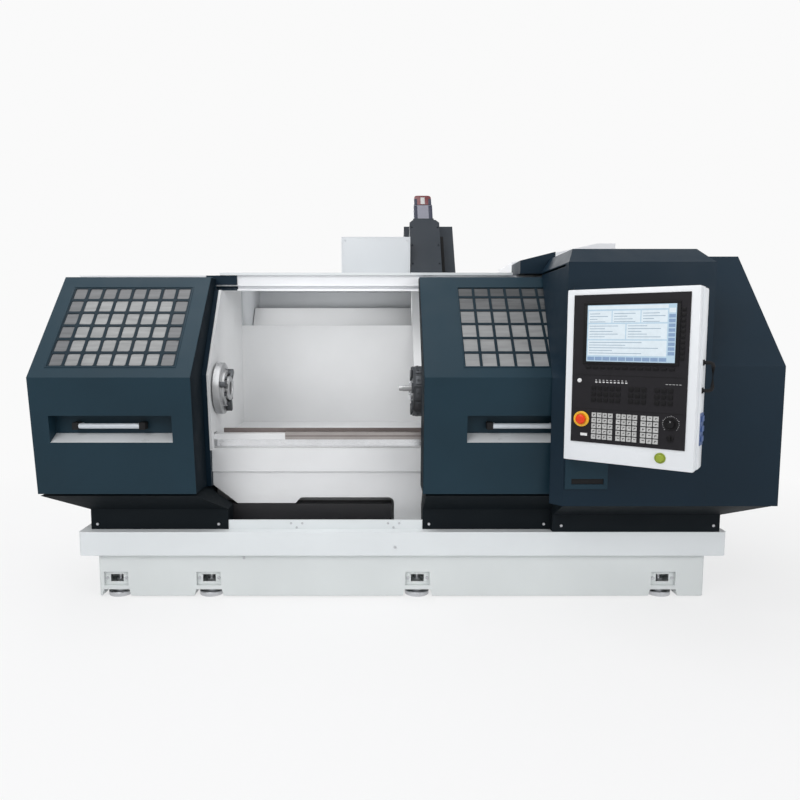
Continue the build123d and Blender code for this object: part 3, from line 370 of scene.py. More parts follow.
def panel_block(piece, x0, x1, z0, z1, base, proud, bevel=0.0):
    """Block on the control panel's face, from the case's lower left corner."""
    low = (x0 - PANEL_EDGE, FACE_Y - base - proud, z0)
    high = (x1 - PANEL_EDGE, FACE_Y - base, z1)
    return piece.block(low, high, bevel, PANEL_PLACE)


def panel_point(x, z, base=FACE_PROUD):
    """Place on the panel's face whose Z axis points at the operator."""
    return PANEL_PLACE @ moved(x - PANEL_EDGE, FACE_Y - base, z) @ spun(0.25, "X")


# Materials of the CAD nodes

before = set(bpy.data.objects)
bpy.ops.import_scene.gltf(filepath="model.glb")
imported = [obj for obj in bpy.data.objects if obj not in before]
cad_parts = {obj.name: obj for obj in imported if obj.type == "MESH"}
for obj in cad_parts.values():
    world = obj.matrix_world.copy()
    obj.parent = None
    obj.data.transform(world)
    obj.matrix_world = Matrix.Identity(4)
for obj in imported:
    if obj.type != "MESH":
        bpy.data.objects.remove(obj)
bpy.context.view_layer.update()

NAVY = (0.011, 0.031, 0.046)
NAVY_DARK = (0.0045, 0.0155, 0.0275)
WHITE = (0.73, 0.76, 0.77)

navy = powder_coat("navy powder coat", NAVY, 0.42, gloss=0.16)
navy_dark = powder_coat("dark navy powder coat", NAVY_DARK, 0.46, gloss=0.16)
# Skirts: their dark paint made near black, painted shade under the doors' lower edge
skirt_dark_and_shaded = powder_coat("skirt paint with painted shade", (0.0065, 0.0095, 0.0120), 0.6, gloss=0.08)
grille_navy = powder_coat("window grille paint", (0.0065, 0.018, 0.027), gloss=0.12)
# Doors' inner side faces: the navy made near black, painted shade where the work area's light
# doesn't reach
door_side_shade = powder_coat("door side painted shade", (0.004, 0.009, 0.014), 0.6, gloss=0.05)
column_paint = powder_coat("column paint", (0.023, 0.029, 0.037), 0.5, gloss=0.2)
# Top rail and rear top box: the white made lighter, painted light on their brightly lit tops
rail_white_lit = powder_coat("rail white with painted light", (0.85, 0.86, 0.88), 0.4, spread=0.02)
white = powder_coat("white powder coat", WHITE, 0.4, spread=0.03)
# Base frame: the white made warmer and darker, the darkening painted shade low down by the floor
base_white_shaded = powder_coat("base white with painted shade", (0.68, 0.71, 0.705), 0.45, spread=0.03)
box_white = powder_coat("side box paint", (0.60, 0.62, 0.64), 0.45, spread=0.03)
inner_white = powder_coat("inner white paint", (0.75, 0.755, 0.76), 0.45, spread=0.04)
panel_paint = powder_coat("panel white paint", (0.78, 0.80, 0.82), 0.35, 0.003, 0.02)
# Rear housings: the white made darker, painted shade behind the work area under the roof
rear_white_shaded = powder_coat("rear housing paint with painted shade", (0.66, 0.68, 0.70), 0.45, spread=0.04)
stainless = brushed("brushed stainless", (0.72, 0.73, 0.75))
# Door recess lips: pale, patchy paint in place of bright steel; the paleness and patches are a
# painted highlight and reflection
lip_steel_and_highlight = powder_coat("pale lip with painted highlight", (0.56, 0.58, 0.59), 0.3, spread=0.15, gloss=0.6)
ground_steel = brushed("ground steel", (0.50, 0.505, 0.515), 0.42, (220, 220, 220))
tool_steel = brushed("blackened tool steel", (0.080, 0.085, 0.092), 0.42, (60, 60, 60))
bar_steel = brushed("bar steel", (0.34, 0.345, 0.35), 0.36, (160, 20, 20))
zinc = brushed("zinc plated steel", (0.55, 0.56, 0.58), 0.35, (40, 40, 40))
bed_grey = powder_coat("painted casting", (0.48, 0.485, 0.49), 0.5, spread=0.03)
# Chip conveyor: its dark colour made near black, painted shade in the trough behind the apron
conveyor_black_shade = powder_coat("chip conveyor black with painted shade", (0.012, 0.012, 0.014), 0.5)
way_steel = brushed("dark way cover steel", (0.36, 0.335, 0.325), 0.36, (4, 90, 90))
# Window sheets and the bands on them: greys painted for the lit work area seen through, darker in
# painted shade at the edges and towards the top
left_pane = window_sheet("left window sheet", (0.085, 0.090, 0.096), (0.150, 0.155, 0.162))
right_pane = window_sheet("right window sheet", (0.026, 0.030, 0.034), (0.060, 0.064, 0.068))
left_window_light = window_sheet("left window painted light", (0.20, 0.206, 0.208), (0.33, 0.336, 0.338))
right_window_light = window_sheet("right window painted light", (0.22, 0.225, 0.228), (0.32, 0.325, 0.328))
right_window_half_shade = window_sheet("right window painted half shade", (0.16, 0.164, 0.168), (0.24, 0.245, 0.25))
right_window_shade = window_sheet("right window painted shade", (0.055, 0.059, 0.063), (0.12, 0.124, 0.128))
wiper_brown = plastic("brown wiper", (0.15, 0.125, 0.118), 0.6)
rubber = plastic("black rubber", (0.012, 0.012, 0.013), 0.75, gloss=0.2)
face_black = plastic("panel face", (0.0165, 0.0155, 0.0180), 0.5, gloss=0.12)
key_dark = plastic("dark key", (0.0060, 0.0058, 0.0066), 0.4, gloss=0.15)
key_light = plastic("light key", (0.47, 0.47, 0.46), 0.45)
key_mark = plastic("key mark", (0.03, 0.03, 0.03), 0.6)
white_mark = plastic("white mark", (0.75, 0.75, 0.75), 0.5)
stop_red = plastic("emergency red", (0.74, 0.045, 0.006), 0.35, gloss=0.3)
stop_yellow = plastic("emergency yellow", (0.85, 0.46, 0.02), 0.35)
button_green = plastic("yellow green button", (0.26, 0.33, 0.02), 0.3)
bar_white = plastic("handle bar white", (0.54, 0.58, 0.62), 0.25)
motor_red = plastic("motor cap red", (0.115, 0.008, 0.013), 0.3)
# Motor sides: dark blue strips, painted shade of a rounded body
motor_side_shade = powder_coat("motor side painted shade", (0.020, 0.024, 0.045), 0.45, gloss=0.3)
motor_grey = powder_coat("motor grey", (0.18, 0.18, 0.22), 0.42)
socket_blue = plastic("socket blue", (0.05, 0.10, 0.25), 0.4)
screen_back = lit("screen", (0.56, 0.75, 0.90), 0.70)
screen_pale = lit("screen pale", (0.80, 0.90, 0.97), 0.76)
screen_line = lit("screen line", (0.32, 0.46, 0.60), 0.6)
screen_key = lit("screen key", (0.30, 0.45, 0.70), 0.6)

FINISHES = {
    navy: ["left_door", "right_door", "cabinet_low_panel"],
    grille_navy: ["left_door_grille", "right_door_grille"],
    navy_dark: ["headstock_cover", "right_guard", "panel_arms",
                "control_cabinet", "end_cover", "cabinet_hood", "header_plate"],
    skirt_dark_and_shaded: ["left_skirt", "right_skirt", "cabinet_skirt"],
    column_paint: ["saddle", "slide_column"],
    rail_white_lit: ["top_rail", "rear_top_box"],
    white: ["chip_pan", "front_roof", "front_sill"],
    base_white_shaded: ["base_frame"],
    box_white: ["side_box"],
    inner_white: ["apron", "left_wall", "right_wall", "back_wall", "turret_head", "work_floor",
                  "way_cover_bright"],
    bed_grey: ["bed"],
    panel_paint: ["panel_case"],
    rear_white_shaded: ["rear_left_housing", "rear_right_housing", "rear_panel", "rear_roof"],
    lip_steel_and_highlight: ["left_door_lip", "right_door_lip"],
    ground_steel: ["spindle"],
    tool_steel: ["turret_disc", "tool_holders", "slide_ram"],
    zinc: ["levelling_feet"],
    conveyor_black_shade: ["chip_conveyor"],
    way_steel: ["way_cover_black"],
    left_pane: ["left_door_pane"],
    right_pane: ["right_door_pane"],
    rubber: ["panel_handle", "stop_head"],
    face_black: ["panel_face"],
    key_light: ["panel_keys"],
    stop_yellow: ["stop_collar"],
    bar_white: ["left_door_handle", "right_door_handle"],
    motor_red: ["motor_cap"],
    motor_grey: ["slide_motor"],
    screen_back: ["panel_screen"],
}
for material, nodes in FINISHES.items():
    for node in nodes:
        for material_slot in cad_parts[node].material_slots:
            material_slot.material = material


# Control panel


def panel_keys():
    """Soft keys beside and under the screen, dark key fields, and the screen's frame."""
    soft = Piece("panel_soft_keys")
    keys = [(0.4345, 0.419 + i * 0.0202, 0.014, 0.014) for i in range(10)]
    keys += [(0.084 + i * 0.0285, 0.378, 0.020, 0.012) for i in range(12)]
    keys += [(0.110 + i * 0.0240, 0.246 + row * 0.024, 0.017, 0.017)
             for row in range(3) for i in range(13) if i not in (5, 9)]
    for x, z, wide, high in keys:
        panel_block(soft, x, x + wide, z, z + high, FACE_PROUD, 0.003, 0.001)
    soft.done(key_dark, "control_panel", "keys")

    bezel = Piece("panel_bezel")
    for x0, x1, z0, z1 in ((0.072, 0.431, 0.629, 0.640), (0.072, 0.431, 0.397, 0.408),
                           (0.072, 0.086, 0.408, 0.629), (0.417, 0.431, 0.408, 0.629)):
        panel_block(bezel, x0, x1, z0, z1, FACE_PROUD, 0.0045, 0.001)
    for z0, z1 in ((0.352, 0.3535), (0.216, 0.2175)):
        panel_block(bezel, 0.040, 0.455, z0, z1, FACE_PROUD, 0.0008)
    bezel.done(key_dark, "control_panel", "face_dark")


def screen_picture():
    """Plain fields, lines and labels on the screen."""
    front = FACE_PROUD + SCREEN_PROUD
    pale = Piece("screen_windows")
    for x0, x1, z0, z1 in ((0.088, 0.388, 0.612, 0.626), (0.091, 0.180, 0.560, 0.606),
                           (0.184, 0.288, 0.560, 0.606), (0.292, 0.386, 0.560, 0.606),
                           (0.091, 0.234, 0.496, 0.555), (0.238, 0.386, 0.496, 0.555),
                           (0.091, 0.386, 0.432, 0.491), (0.391, 0.414, 0.596, 0.613)):
        panel_block(pale, x0, x1, z0, z1, front, 0.0006)
    pale.done(screen_pale, "control_panel", "screen")

    lines = Piece("screen_lines")
    for x, top, count, lengths in ((0.096, 0.594, 4, (0.04, 0.07, 0.03, 0.06)),
                                   (0.190, 0.594, 4, (0.08, 0.05, 0.07)),
                                   (0.298, 0.594, 4, (0.06, 0.08, 0.04)),
                                   (0.096, 0.546, 5, (0.11, 0.06, 0.09)),
                                   (0.244, 0.546, 5, (0.07, 0.12, 0.05)),
                                   (0.096, 0.482, 5, (0.20, 0.14, 0.26, 0.09))):
        for i in range(count):
            z = top - i * 0.0105
            end = x + lengths[i % len(lengths)]
            panel_block(lines, x, end, z, z + 0.0022, front + 0.0006, 0.0004)
    lines.done(screen_line, "control_panel", "screen")

    blocks = Piece("screen_soft_labels")
    for i in range(9):
        z = 0.436 + i * 0.0176
        panel_block(blocks, 0.391, 0.414, z, z + 0.013, front, 0.0006)
    for i in range(10):
        x = 0.090 + i * 0.030
        panel_block(blocks, x, x + 0.027, 0.412, 0.426, front, 0.0006)
    blocks.done(screen_key, "control_panel", "screen")


def panel_marks():
    """Pale marks and a lamp on the dark face, and a plain legend on each light key."""
    marks = Piece("panel_marks")
    for i in range(9):
        x = 0.124 + i * 0.0145
        panel_block(marks, x, x + 0.008, 0.3235, 0.3275, FACE_PROUD, 0.0006)
        panel_block(marks, x, x + 0.006, 0.3325, 0.3345, FACE_PROUD, 0.0006)
    for i in range(5):
        x = 0.388 + i * 0.012
        panel_block(marks, x, x + 0.008, 0.326, 0.3275, FACE_PROUD, 0.0006)
    panel_block(marks, 0.070, 0.098, 0.106, 0.117, FACE_PROUD, 0.0012, 0.0005)
    lamp = [(0.0085, 0), (0.0085, 0.004), (0.0070, 0.0055), (0, 0.006)]
    marks.turned(lamp, panel_point(0.061, 0.330), 24)
    marks.done(white_mark, "control_panel", "keys")

    legends = Piece("key_legends")
    key_top = FACE_PROUD + KEY_PROUD
    for x0, x1, columns in ((0.115, 0.201, 4), (0.211, 0.294, 4), (0.304, 0.373, 3)):
        wide = (x1 - x0) / columns
        for i in range(columns):
            for j in range(5):
                x, z = x0 + (i + 0.28) * wide, 0.097 + (j + 0.42) * 0.022
                panel_block(legends, x, x + 0.36 * wide, z, z + 0.0028, key_top, 0.0004)
                if (i + 2 * j) % 3:
                    panel_block(legends, x, x + 0.0022, z - 0.004, z + 0.0028, key_top, 0.0004)
    legends.done(key_mark, "control_panel", "face_dark")


def panel_controls():
    """Dial with its ticks, key switch, ring of the emergency stop and the green button."""
    dial = Piece("panel_dials")
    place = panel_point(*DIAL_AT)
    dial.turned([(0.0260, 0), (0.0260, 0.002), (0.0245, 0.003), (0, 0.003)], place, 48)
    knob = [(0.0150, 0), (0.0150, 0.010), (0.0135, 0.0125), (0, 0.0125)]
    dial.turned(knob, place @ moved(0, 0, 0.003), 28)
    for i in range(24):
        rib = place @ spun(i / 24)
        dial.block((0.0142, -0.0008, 0.004), (0.0158, 0.0008, 0.0135), 0.0003, rib)
    place = panel_point(*SWITCH_AT)
    dial.turned([(0.0125, 0), (0.0125, 0.003), (0.0105, 0.0045), (0, 0.0045)], place, 32)
    dial.block((-0.0025, -0.009, 0.0045), (0.0025, 0.009, 0.013), 0.0008, place)
    dial.done(key_dark, "control_panel", "face_dark")

    ticks = Piece("dial_ticks")
    place = panel_point(*DIAL_AT)
    for i in range(21):
        turn = spun((-135 + i * 13.5) / 360)
        end = 0.0305 if i % 5 else 0.0325
        ticks.block((-0.0005, 0.0275, 0), (0.0005, end, 0.0006), 0, place @ turn)
    ticks.block((-0.0008, 0.006, 0.0155), (0.0008, 0.0130, 0.0162), 0, place)
    ticks.done(white_mark, "control_panel", "keys")

    ring = Piece("stop_collar_ring")
    place = panel_point(*STOP_AT, FACE_PROUD + 0.004)
    ring.turned([(0.0310, -0.0005), (0.0310, 0.0015), (0.0290, 0.0030), (0.0225, 0.0030),
                 (0.0215, 0.0), (0.0215, -0.0005)], place, 56)
    ring.done(stop_yellow, "control_panel", "stop_yellow")

    button = Piece("case_button")
    place = panel_point(0.378, 0.044, 0)
    button.turned([(0.0205, 0), (0.0205, 0.003), (0.0185, 0.0045), (0.0170, 0.0045),
                   (0.0165, 0.003), (0.0160, 0.003), (0.0155, 0.008), (0.0120, 0.0105),
                   (0, 0.0112)], place, 48)
    button.done(button_green, "control_panel", "stop_yellow")


def panel_case():
    """Case, grab handle and stop head, which stand for plain solids, and the socket and seam."""
    case = Piece("panel_case_shell")
    x = PANEL_WIDTH - PANEL_EDGE
    case.block((-PANEL_EDGE, FACE_Y, 0.0), (x, PANEL_EDGE, PANEL_HEIGHT), 0.006, PANEL_PLACE)
    case.block((0.010, FACE_Y + 0.028, 0.006), (x + SHELL_STEP, SHELL_BACK, PANEL_HEIGHT - 0.006),
               0.008, PANEL_PLACE)
    case.done(panel_paint, "control_panel", "panel_white", "panel_case")

    grip = Piece("panel_grab_handle")
    x += SHELL_STEP
    y, end, low, high = FACE_Y + 0.050, x + 0.034, 0.306, 0.410
    path = [(x - 0.004, low), (end - 0.012, low), (end - 0.003, low + 0.004), (end, low + 0.013),
            (end, high - 0.013), (end - 0.003, high - 0.004), (end - 0.012, high),
            (x - 0.004, high)]
    grip.tube([PANEL_PLACE @ Vector((along, y, z)) for along, z in path], 0.0068)
    for z in (low, high):
        grip.block((x - 0.001, y - 0.011, z - 0.011), (x + 0.004, y + 0.011, z + 0.011), 0.002,
                   PANEL_PLACE)
    grip.done(rubber, "control_panel", "rubber_black", "panel_handle")

    mushroom = Piece("stop_mushroom")
    profile = [(0.012, -0.004), (0.012, 0.009), (0.0165, 0.010), (0.0195, 0.0125),
               (0.0200, 0.0165), (0.0185, 0.0200), (0.0140, 0.0222), (0.007, 0.0230), (0, 0.0232)]
    mushroom.turned(profile, panel_point(*STOP_AT), 48)
    mushroom.done(stop_red, "control_panel", "stop_red", "stop_head")

    side = Piece("case_side_socket")
    side.block((x - 0.001, -0.036, 0.098), (x + 0.003, 0.020, 0.221), 0.001, PANEL_PLACE)
    for z in (0.112, 0.150, 0.188):
        side.block((x + 0.003, -0.028, z), (x + 0.008, 0.010, z + 0.022), 0.002, PANEL_PLACE)
    side.done(socket_blue, "control_panel", "face_dark")

    seam = Piece("case_rear_seam")
    end = PANEL_WIDTH - PANEL_EDGE
    seam.block((end - 0.0002, -0.0035, 0.010), (end + 0.0005, 0.0, 0.683), 0, PANEL_PLACE)
    for z in (0.09, 0.35, 0.61):
        for x in (0.036 - PANEL_EDGE, end - 0.03):
            seam.bolt(PANEL_PLACE @ facing(x, PANEL_EDGE, z, (0, 1, 0)), 0.005, 0.003)
    seam.done(zinc, "control_panel", "face_dark")


# Doors


# Bands painted on each pane, lighter where the lit work area shows through and darker in painted
# shade towards the top: name, paint, span along X, span up from the window's lower edge
WINDOW_BANDS = {
    "left": (("pane_band", left_window_light, 0.0704, 0.4928, 0.0, 0.405),),
    "right": (("pane_band", right_window_light, 0.0, WINDOW_SIZE[0], 0.0, 0.252),
              ("half_shade", right_window_half_shade, 0.0, WINDOW_SIZE[0], 0.252, 0.338),
              ("shade", right_window_shade, 0.0, WINDOW_SIZE[0], 0.338, 0.424)),
}

# Punched sheet of the right window, with larger cells than the left one
RIGHT_CELLS = (7, 6)
RIGHT_PITCH = (0.0758, 0.0855)
RIGHT_BAR = (0.0125, 0.0130)
RIGHT_BORDER = 0.003
GRILLE_THICK = 0.003


def right_grille():
    """Bars of the right window, the top row of cells cut short by the frame."""
    place = slope_matrix(RIGHT_WINDOW)
    wide, high = WINDOW_SIZE
    cell_x, cell_y = (pitch - bar for pitch, bar in zip(RIGHT_PITCH, RIGHT_BAR))
    columns = [RIGHT_BORDER + i * RIGHT_PITCH[0] for i in range(RIGHT_CELLS[0])]
    rows = [RIGHT_BORDER + i * RIGHT_PITCH[1] for i in range(RIGHT_CELLS[1])]
    tops = [min(y + cell_y, high - RIGHT_BORDER) for y in rows]
    bars = [(0.0, wide, low, top) for low, top in zip([0.0, *tops], [*rows, high])]
    bars += [(left, right, low, top) for low, top in zip(rows, tops)
             for left, right in zip([0.0, *(x + cell_x for x in columns)], [*columns, wide])]
    sheet = Piece("right_grille_bars")
    for left, right, low, top in bars:
        sheet.block((left, WINDOW_START + low, -GRILLE_THICK), (right, WINDOW_START + top, 0.0), 0,
                    place)
    sheet.done(grille_navy, "right_door", "grille", "right_door_grille")


def door_fittings(side, edge_x, window_left, recess_left):
    """Window seal, bands of painted light and painted shade on the pane, clips, the inner edge
    painted near black as shade, and handle ends that also paint the shadow at the bar's ends, of
    one door.
    """
    body = f"{side}_door"
    place = slope_matrix(window_left)
    seal = Piece(f"{side}_window_seal")
    wide, high = WINDOW_SIZE
    for low, top in (((-0.006, WINDOW_START - 0.006), (wide + 0.006, WINDOW_START)),
                     ((-0.006, WINDOW_START + high), (wide + 0.006, WINDOW_START + high + 0.006)),
                     ((-0.006, WINDOW_START), (0, WINDOW_START + high)),
                     ((wide, WINDOW_START), (wide + 0.006, WINDOW_START + high))):
        seal.block((*low, 0.0), (*top, 0.0022), 0.0008, place)
    seal.done(navy, body, "cover_navy")

    # Bands of painted light and painted shade over the pane
    for part, paint, x0, x1, low, top in WINDOW_BANDS[side]:
        pane_band = Piece(f"{side}_{part}")
        pane_band.block((x0, WINDOW_START + low, -0.0030), (x1, WINDOW_START + top, -0.0026), 0, place)
        pane_band.done(paint, body, "window")

    # Thin near black sheet over the door's inner side face: painted shade
    edge = Piece(f"{side}_inner_side_shading")
    profile = [(-0.505, 0.514), (-0.555, 1.039), (-0.149, 1.500), (-0.062, 1.500),
               (-0.377, 1.040), (-0.329, 0.514)]
    turn = Matrix(((0, 0, 1, 0), (1, 0, 0, 0), (0, 1, 0, 0), (0, 0, 0, 1)))
    start, stop = (0.0, 0.001) if side == "left" else (-0.001, 0.0)
    edge.prism(profile, edge_x + start, edge_x + stop, turn)
    edge.done(door_side_shade, body, "cover_navy")

    screws = Piece(f"{side}_pane_clips")
    for i in range(8):
        x = -0.004 + i * (wide + 0.008) / 7
        for y in (WINDOW_START - 0.016, WINDOW_START + high + 0.016):
            screws.bolt(place @ moved(x, y, -GRILLE_THICK) @ spun(0.5, "X"), 0.005, 0.004)
    screws.done(zinc, body, "stainless")

    # Black blocks at the bar's ends: its mounts, painted black to give the shadows at the bar's
    # ends too
    ends = Piece(f"{side}_handle_ends_and_shadow")
    rise = (RECESS_MIDDLE - DOOR_BOTTOM_Z) / (KNEE.z - DOOR_BOTTOM_Z)
    pocket_y = DOOR_BOTTOM_Y + (KNEE.y - DOOR_BOTTOM_Y) * rise
    x0 = recess_left + HANDLE_INSET
    for x in (x0 - 0.012, x0 + HANDLE_LENGTH - 0.016):
        ends.block((x, pocket_y + 0.016, 0.804), (x + 0.028, pocket_y + 0.058, 0.837), 0.004)
    ends.done(rubber, body, "rubber_black")


# Spindle and turret


def spindle_fittings():
    """Rings, bolts, jaws and the bored nose of the spindle plate."""
    y, z = SPINDLE
    place = facing(SPINDLE_FACE, y, z, (1, 0, 0))
    plate = Piece("spindle_plate_rings")
    plate.turned([(0.121, 0), (0.121, 0.0015), (0.112, 0.003), (0.098, 0.003), (0.096, 0.0008),
                  (0.090, 0.0008), (0.088, 0.003), (0.066, 0.003), (0.064, 0.0)], place, 72)
    plate.turned([(0.086, 0.002), (0.086, 0.014), (0.083, 0.017), (0.064, 0.017)], place, 64)
    plate.turned([(0.058, 0.0), (0.058, 0.028), (0.054, 0.032), (0.036, 0.032), (0.033, 0.028),
                  (0.033, -0.02)], place, 64)
    plate.done(ground_steel, "spindle", "bright_steel")
    dark = Piece("spindle_plate_bolts")
    for i in range(6):
        turn = Matrix.Rotation(2 * pi * i / 6 + 0.3, 4, "Z")
        dark.bolt(place @ turn @ moved(0.074, 0, 0.016), 0.0095, 0.010)
    for i in range(3):
        jaw = place @ Matrix.Rotation(2 * pi * i / 3 + 0.8, 4, "Z")
        dark.block((0.056, -0.012, 0.0028), (0.114, 0.012, 0.0300), 0.002, jaw)
    dark.done(tool_steel, "spindle", "tool_steel")


def turret_fittings():
    """Hub and stations of the turret disc with their screws, and the boring bar's sleeve."""
    y, z = TURRET
    place = facing(TURRET_FACE, y, z, (-1, 0, 0))
    hub = Piece("turret_hub")
    hub.turned([(0.052, 0), (0.052, 0.008), (0.048, 0.012), (0.024, 0.012), (0.020, 0.018),
                (0, 0.018)], place, 56)
    for i in range(TURRET_SIDES):
        hub.bolt(place @ spun((i + 0.5) / TURRET_SIDES) @ moved(0.042, 0, 0.012), 0.004, 0.005)
    hub.done(zinc, "turret", "tool_steel")

    blocks = Piece("turret_stations")
    flat = TURRET_RADIUS * cos(pi / TURRET_SIDES)
    for i in range(TURRET_SIDES):
        station = moved(TURRET_FACE, y, z) @ spun(i / TURRET_SIDES, "X")
        blocks.block((0.012, -0.022, flat - 0.004), (0.066, 0.022, flat + 0.003), 0.001, station)
        for x in (0.024, 0.054):
            blocks.bolt(station @ moved(x, 0, flat + 0.003), 0.0055, 0.003)
    blocks.done(tool_steel, "turret", "tool_steel")

    sleeve = Piece("boring_bar_sleeve")
    tip = facing(TURRET_FACE - 0.009, *SPINDLE, (-1, 0, 0))
    sleeve.turned([(0.0145, 0), (0.0145, 0.008), (0.019, 0.008), (0.019, 0.012), (0.0143, 0.012),
                   (0.0143, 0.040), (0.0128, 0.042), (0.0128, 0.056), (0.0110, 0.0602),
                   (0, 0.0602)], tip, 36)
    sleeve.done(bar_steel, "turret", "bright_steel")


# Feet, pan and skirts


def low_fittings():
    """Brackets behind the foot windows and the bolts along the pan and skirts."""
    plates = Piece("foot_brackets")
    bolts = Piece("foot_bracket_bolts")
    for x in FOOT_X:
        for edge, side in ((BASE_FRONT, 1), (BASE_BACK, -1)):
            plate = edge + side * 0.012
            y0, y1 = sorted((plate, plate + side * 0.006))
            for left, right, low, high in ((-FOOT_WINDOW, FOOT_WINDOW, 0.057, 0.072),
                                           (-FOOT_WINDOW, FOOT_WINDOW, 0.107, 0.122),
                                           (-FOOT_WINDOW, -0.030, 0.072, 0.107),
                                           (0.030, FOOT_WINDOW, 0.072, 0.107)):
                plates.block((x + left, y0, low), (x + right, y1, high), 0.001)
            for dx in (-0.045, 0.045):
                bolts.bolt(facing(x + dx, plate, 0.090, (0, -side, 0)), 0.007, 0.005)
    plates.done(base_white_shaded, "machine", "shell_white")
    bolts.done(zinc, "machine", "bright_steel")

    skirt = Piece("skirt_bolts")
    for x in (-1.410, -0.845, 0.135, 0.670):
        skirt.bolt(facing(x, -0.402, 0.345, (0, -1, 0)), 0.0065, 0.005)
    for x in (0.740, 1.440):
        skirt.bolt(facing(x, -0.445, 0.350, (0, -1, 0)), 0.0065, 0.005)
    for x in (-0.482, -0.030):
        for dx, z in ((-0.026, 0.348), (0.026, 0.348), (0, 0.328)):
            skirt.bolt(facing(x + dx, -0.400, z, (0, -1, 0)), 0.0055, 0.003)
    for x, y, z in ((-0.024, -0.449, 0.249), (-0.726, -0.425, 0.190)):
        skirt.bolt(facing(x, y, z, (0, -1, 0)), 0.0065, 0.004)
    skirt.done(zinc, "machine", "bright_steel")


# Covers, housings and walls


def face_place(origin, normal):
    """Frame on an upright face: X to the right of someone who looks at it, Y up, Z outwards."""
    out, up = Vector(normal), Vector((0, 0, 1))
    place = Matrix((up.cross(out), up, out)).transposed().to_4x4()
    place.translation = origin
    return place


def louvres(piece, place, rows, width):
    """Column of pressed ventilation slots."""
    outline = [(0, 0), (-0.009, 0.002), (-0.009, 0.006), (0, 0.024)]
    for i in range(rows):
        slot = place @ moved(0, i * LOUVRE_PITCH, SHEET) @ spun(0.25, "Y")
        piece.prism(outline, 0, width, slot, 0.0008)


def panel_door(plate, metal, place, wide, high, hinges_right=True):
    """Flush service door with hinges and two quarter turn locks."""
    plate.block((0, 0, 0), (wide, high, SHEET), 0.0012, place)
    hinge_x, lock_x = (wide + 0.006, 0.045) if hinges_right else (-0.006, wide - 0.045)
    barrel = [(0, -0.035), (0.006, -0.035), (0.006, 0.035), (0, 0.035)]
    for y in (0.12 * high, 0.88 * high):
        metal.turned(barrel, place @ moved(hinge_x, y, 0.004) @ spun(-0.25, "X"), 20)
    for y in (0.25 * high, 0.75 * high):
        lock = place @ moved(lock_x, y, SHEET)
        metal.turned([(0.015, 0), (0.015, 0.003), (0.013, 0.005), (0, 0.005)], lock, 32)
        metal.block((-0.0025, -0.009, 0.005), (0.0025, 0.009, 0.0075), 0.0008, lock)


def rear_doors():
    """Service doors and ventilation slots of the rear housings."""
    pale = Piece("rear_service_doors")
    metal = Piece("rear_door_metal")
    slots = Piece("rear_louvres")
    right = face_place((1.440, REAR_FACE, 0.400), (0, 1, 0))
    for i in range(2):
        panel_door(pale, metal, right @ moved(i * 0.415, 0, 0), 0.395, 1.020, i == 1)
        louvres(slots, right @ moved(0.075 + i * 0.415, 0.80, 0), 6, 0.245)
    left = face_place((-0.930, REAR_FACE, 0.400), (0, 1, 0))
    panel_door(pale, metal, left, 0.460, 1.020)
    louvres(slots, left @ moved(0.100, 0.16, 0), 8, 0.260)
    middle = face_place((0.560, REAR_FACE, 0.360), (0, 1, 0))
    for x in (0.0, 0.700):
        pale.block((x, 0, 0), (x + 0.680, 1.100, SHEET), 0.0012, middle)
        for dx in (0.020, 0.340, 0.660):
            for dy in (0.020, 0.550, 1.080):
                metal.bolt(middle @ moved(x + dx, dy, SHEET), 0.006, 0.004)
    pale.done(rear_white_shaded, "machine", "shell_white")
    slots.done(rear_white_shaded, "machine", "shell_white")
    metal.done(zinc, "machine", "bright_steel")


def end_doors():
    """Service doors in the two ends of the enclosure."""
    ends = Piece("end_service_doors")
    metal = Piece("end_door_metal")
    place = face_place((-1.615, 0.270, 0.560), (-1, 0, 0))
    panel_door(ends, metal, place, 0.385, 0.840)
    louvres(ends, place @ moved(0.072, 0.10, 0), 7, 0.240)
    place = face_place((1.625, -0.330, 0.560), (1, 0, 0))
    panel_door(ends, metal, place, 0.580, 0.860, False)
    louvres(ends, place @ moved(0.170, 0.62, 0), 6, 0.240)
    ends.done(navy_dark, "machine", "cover_navy")
    metal.done(zinc, "machine", "bright_steel")


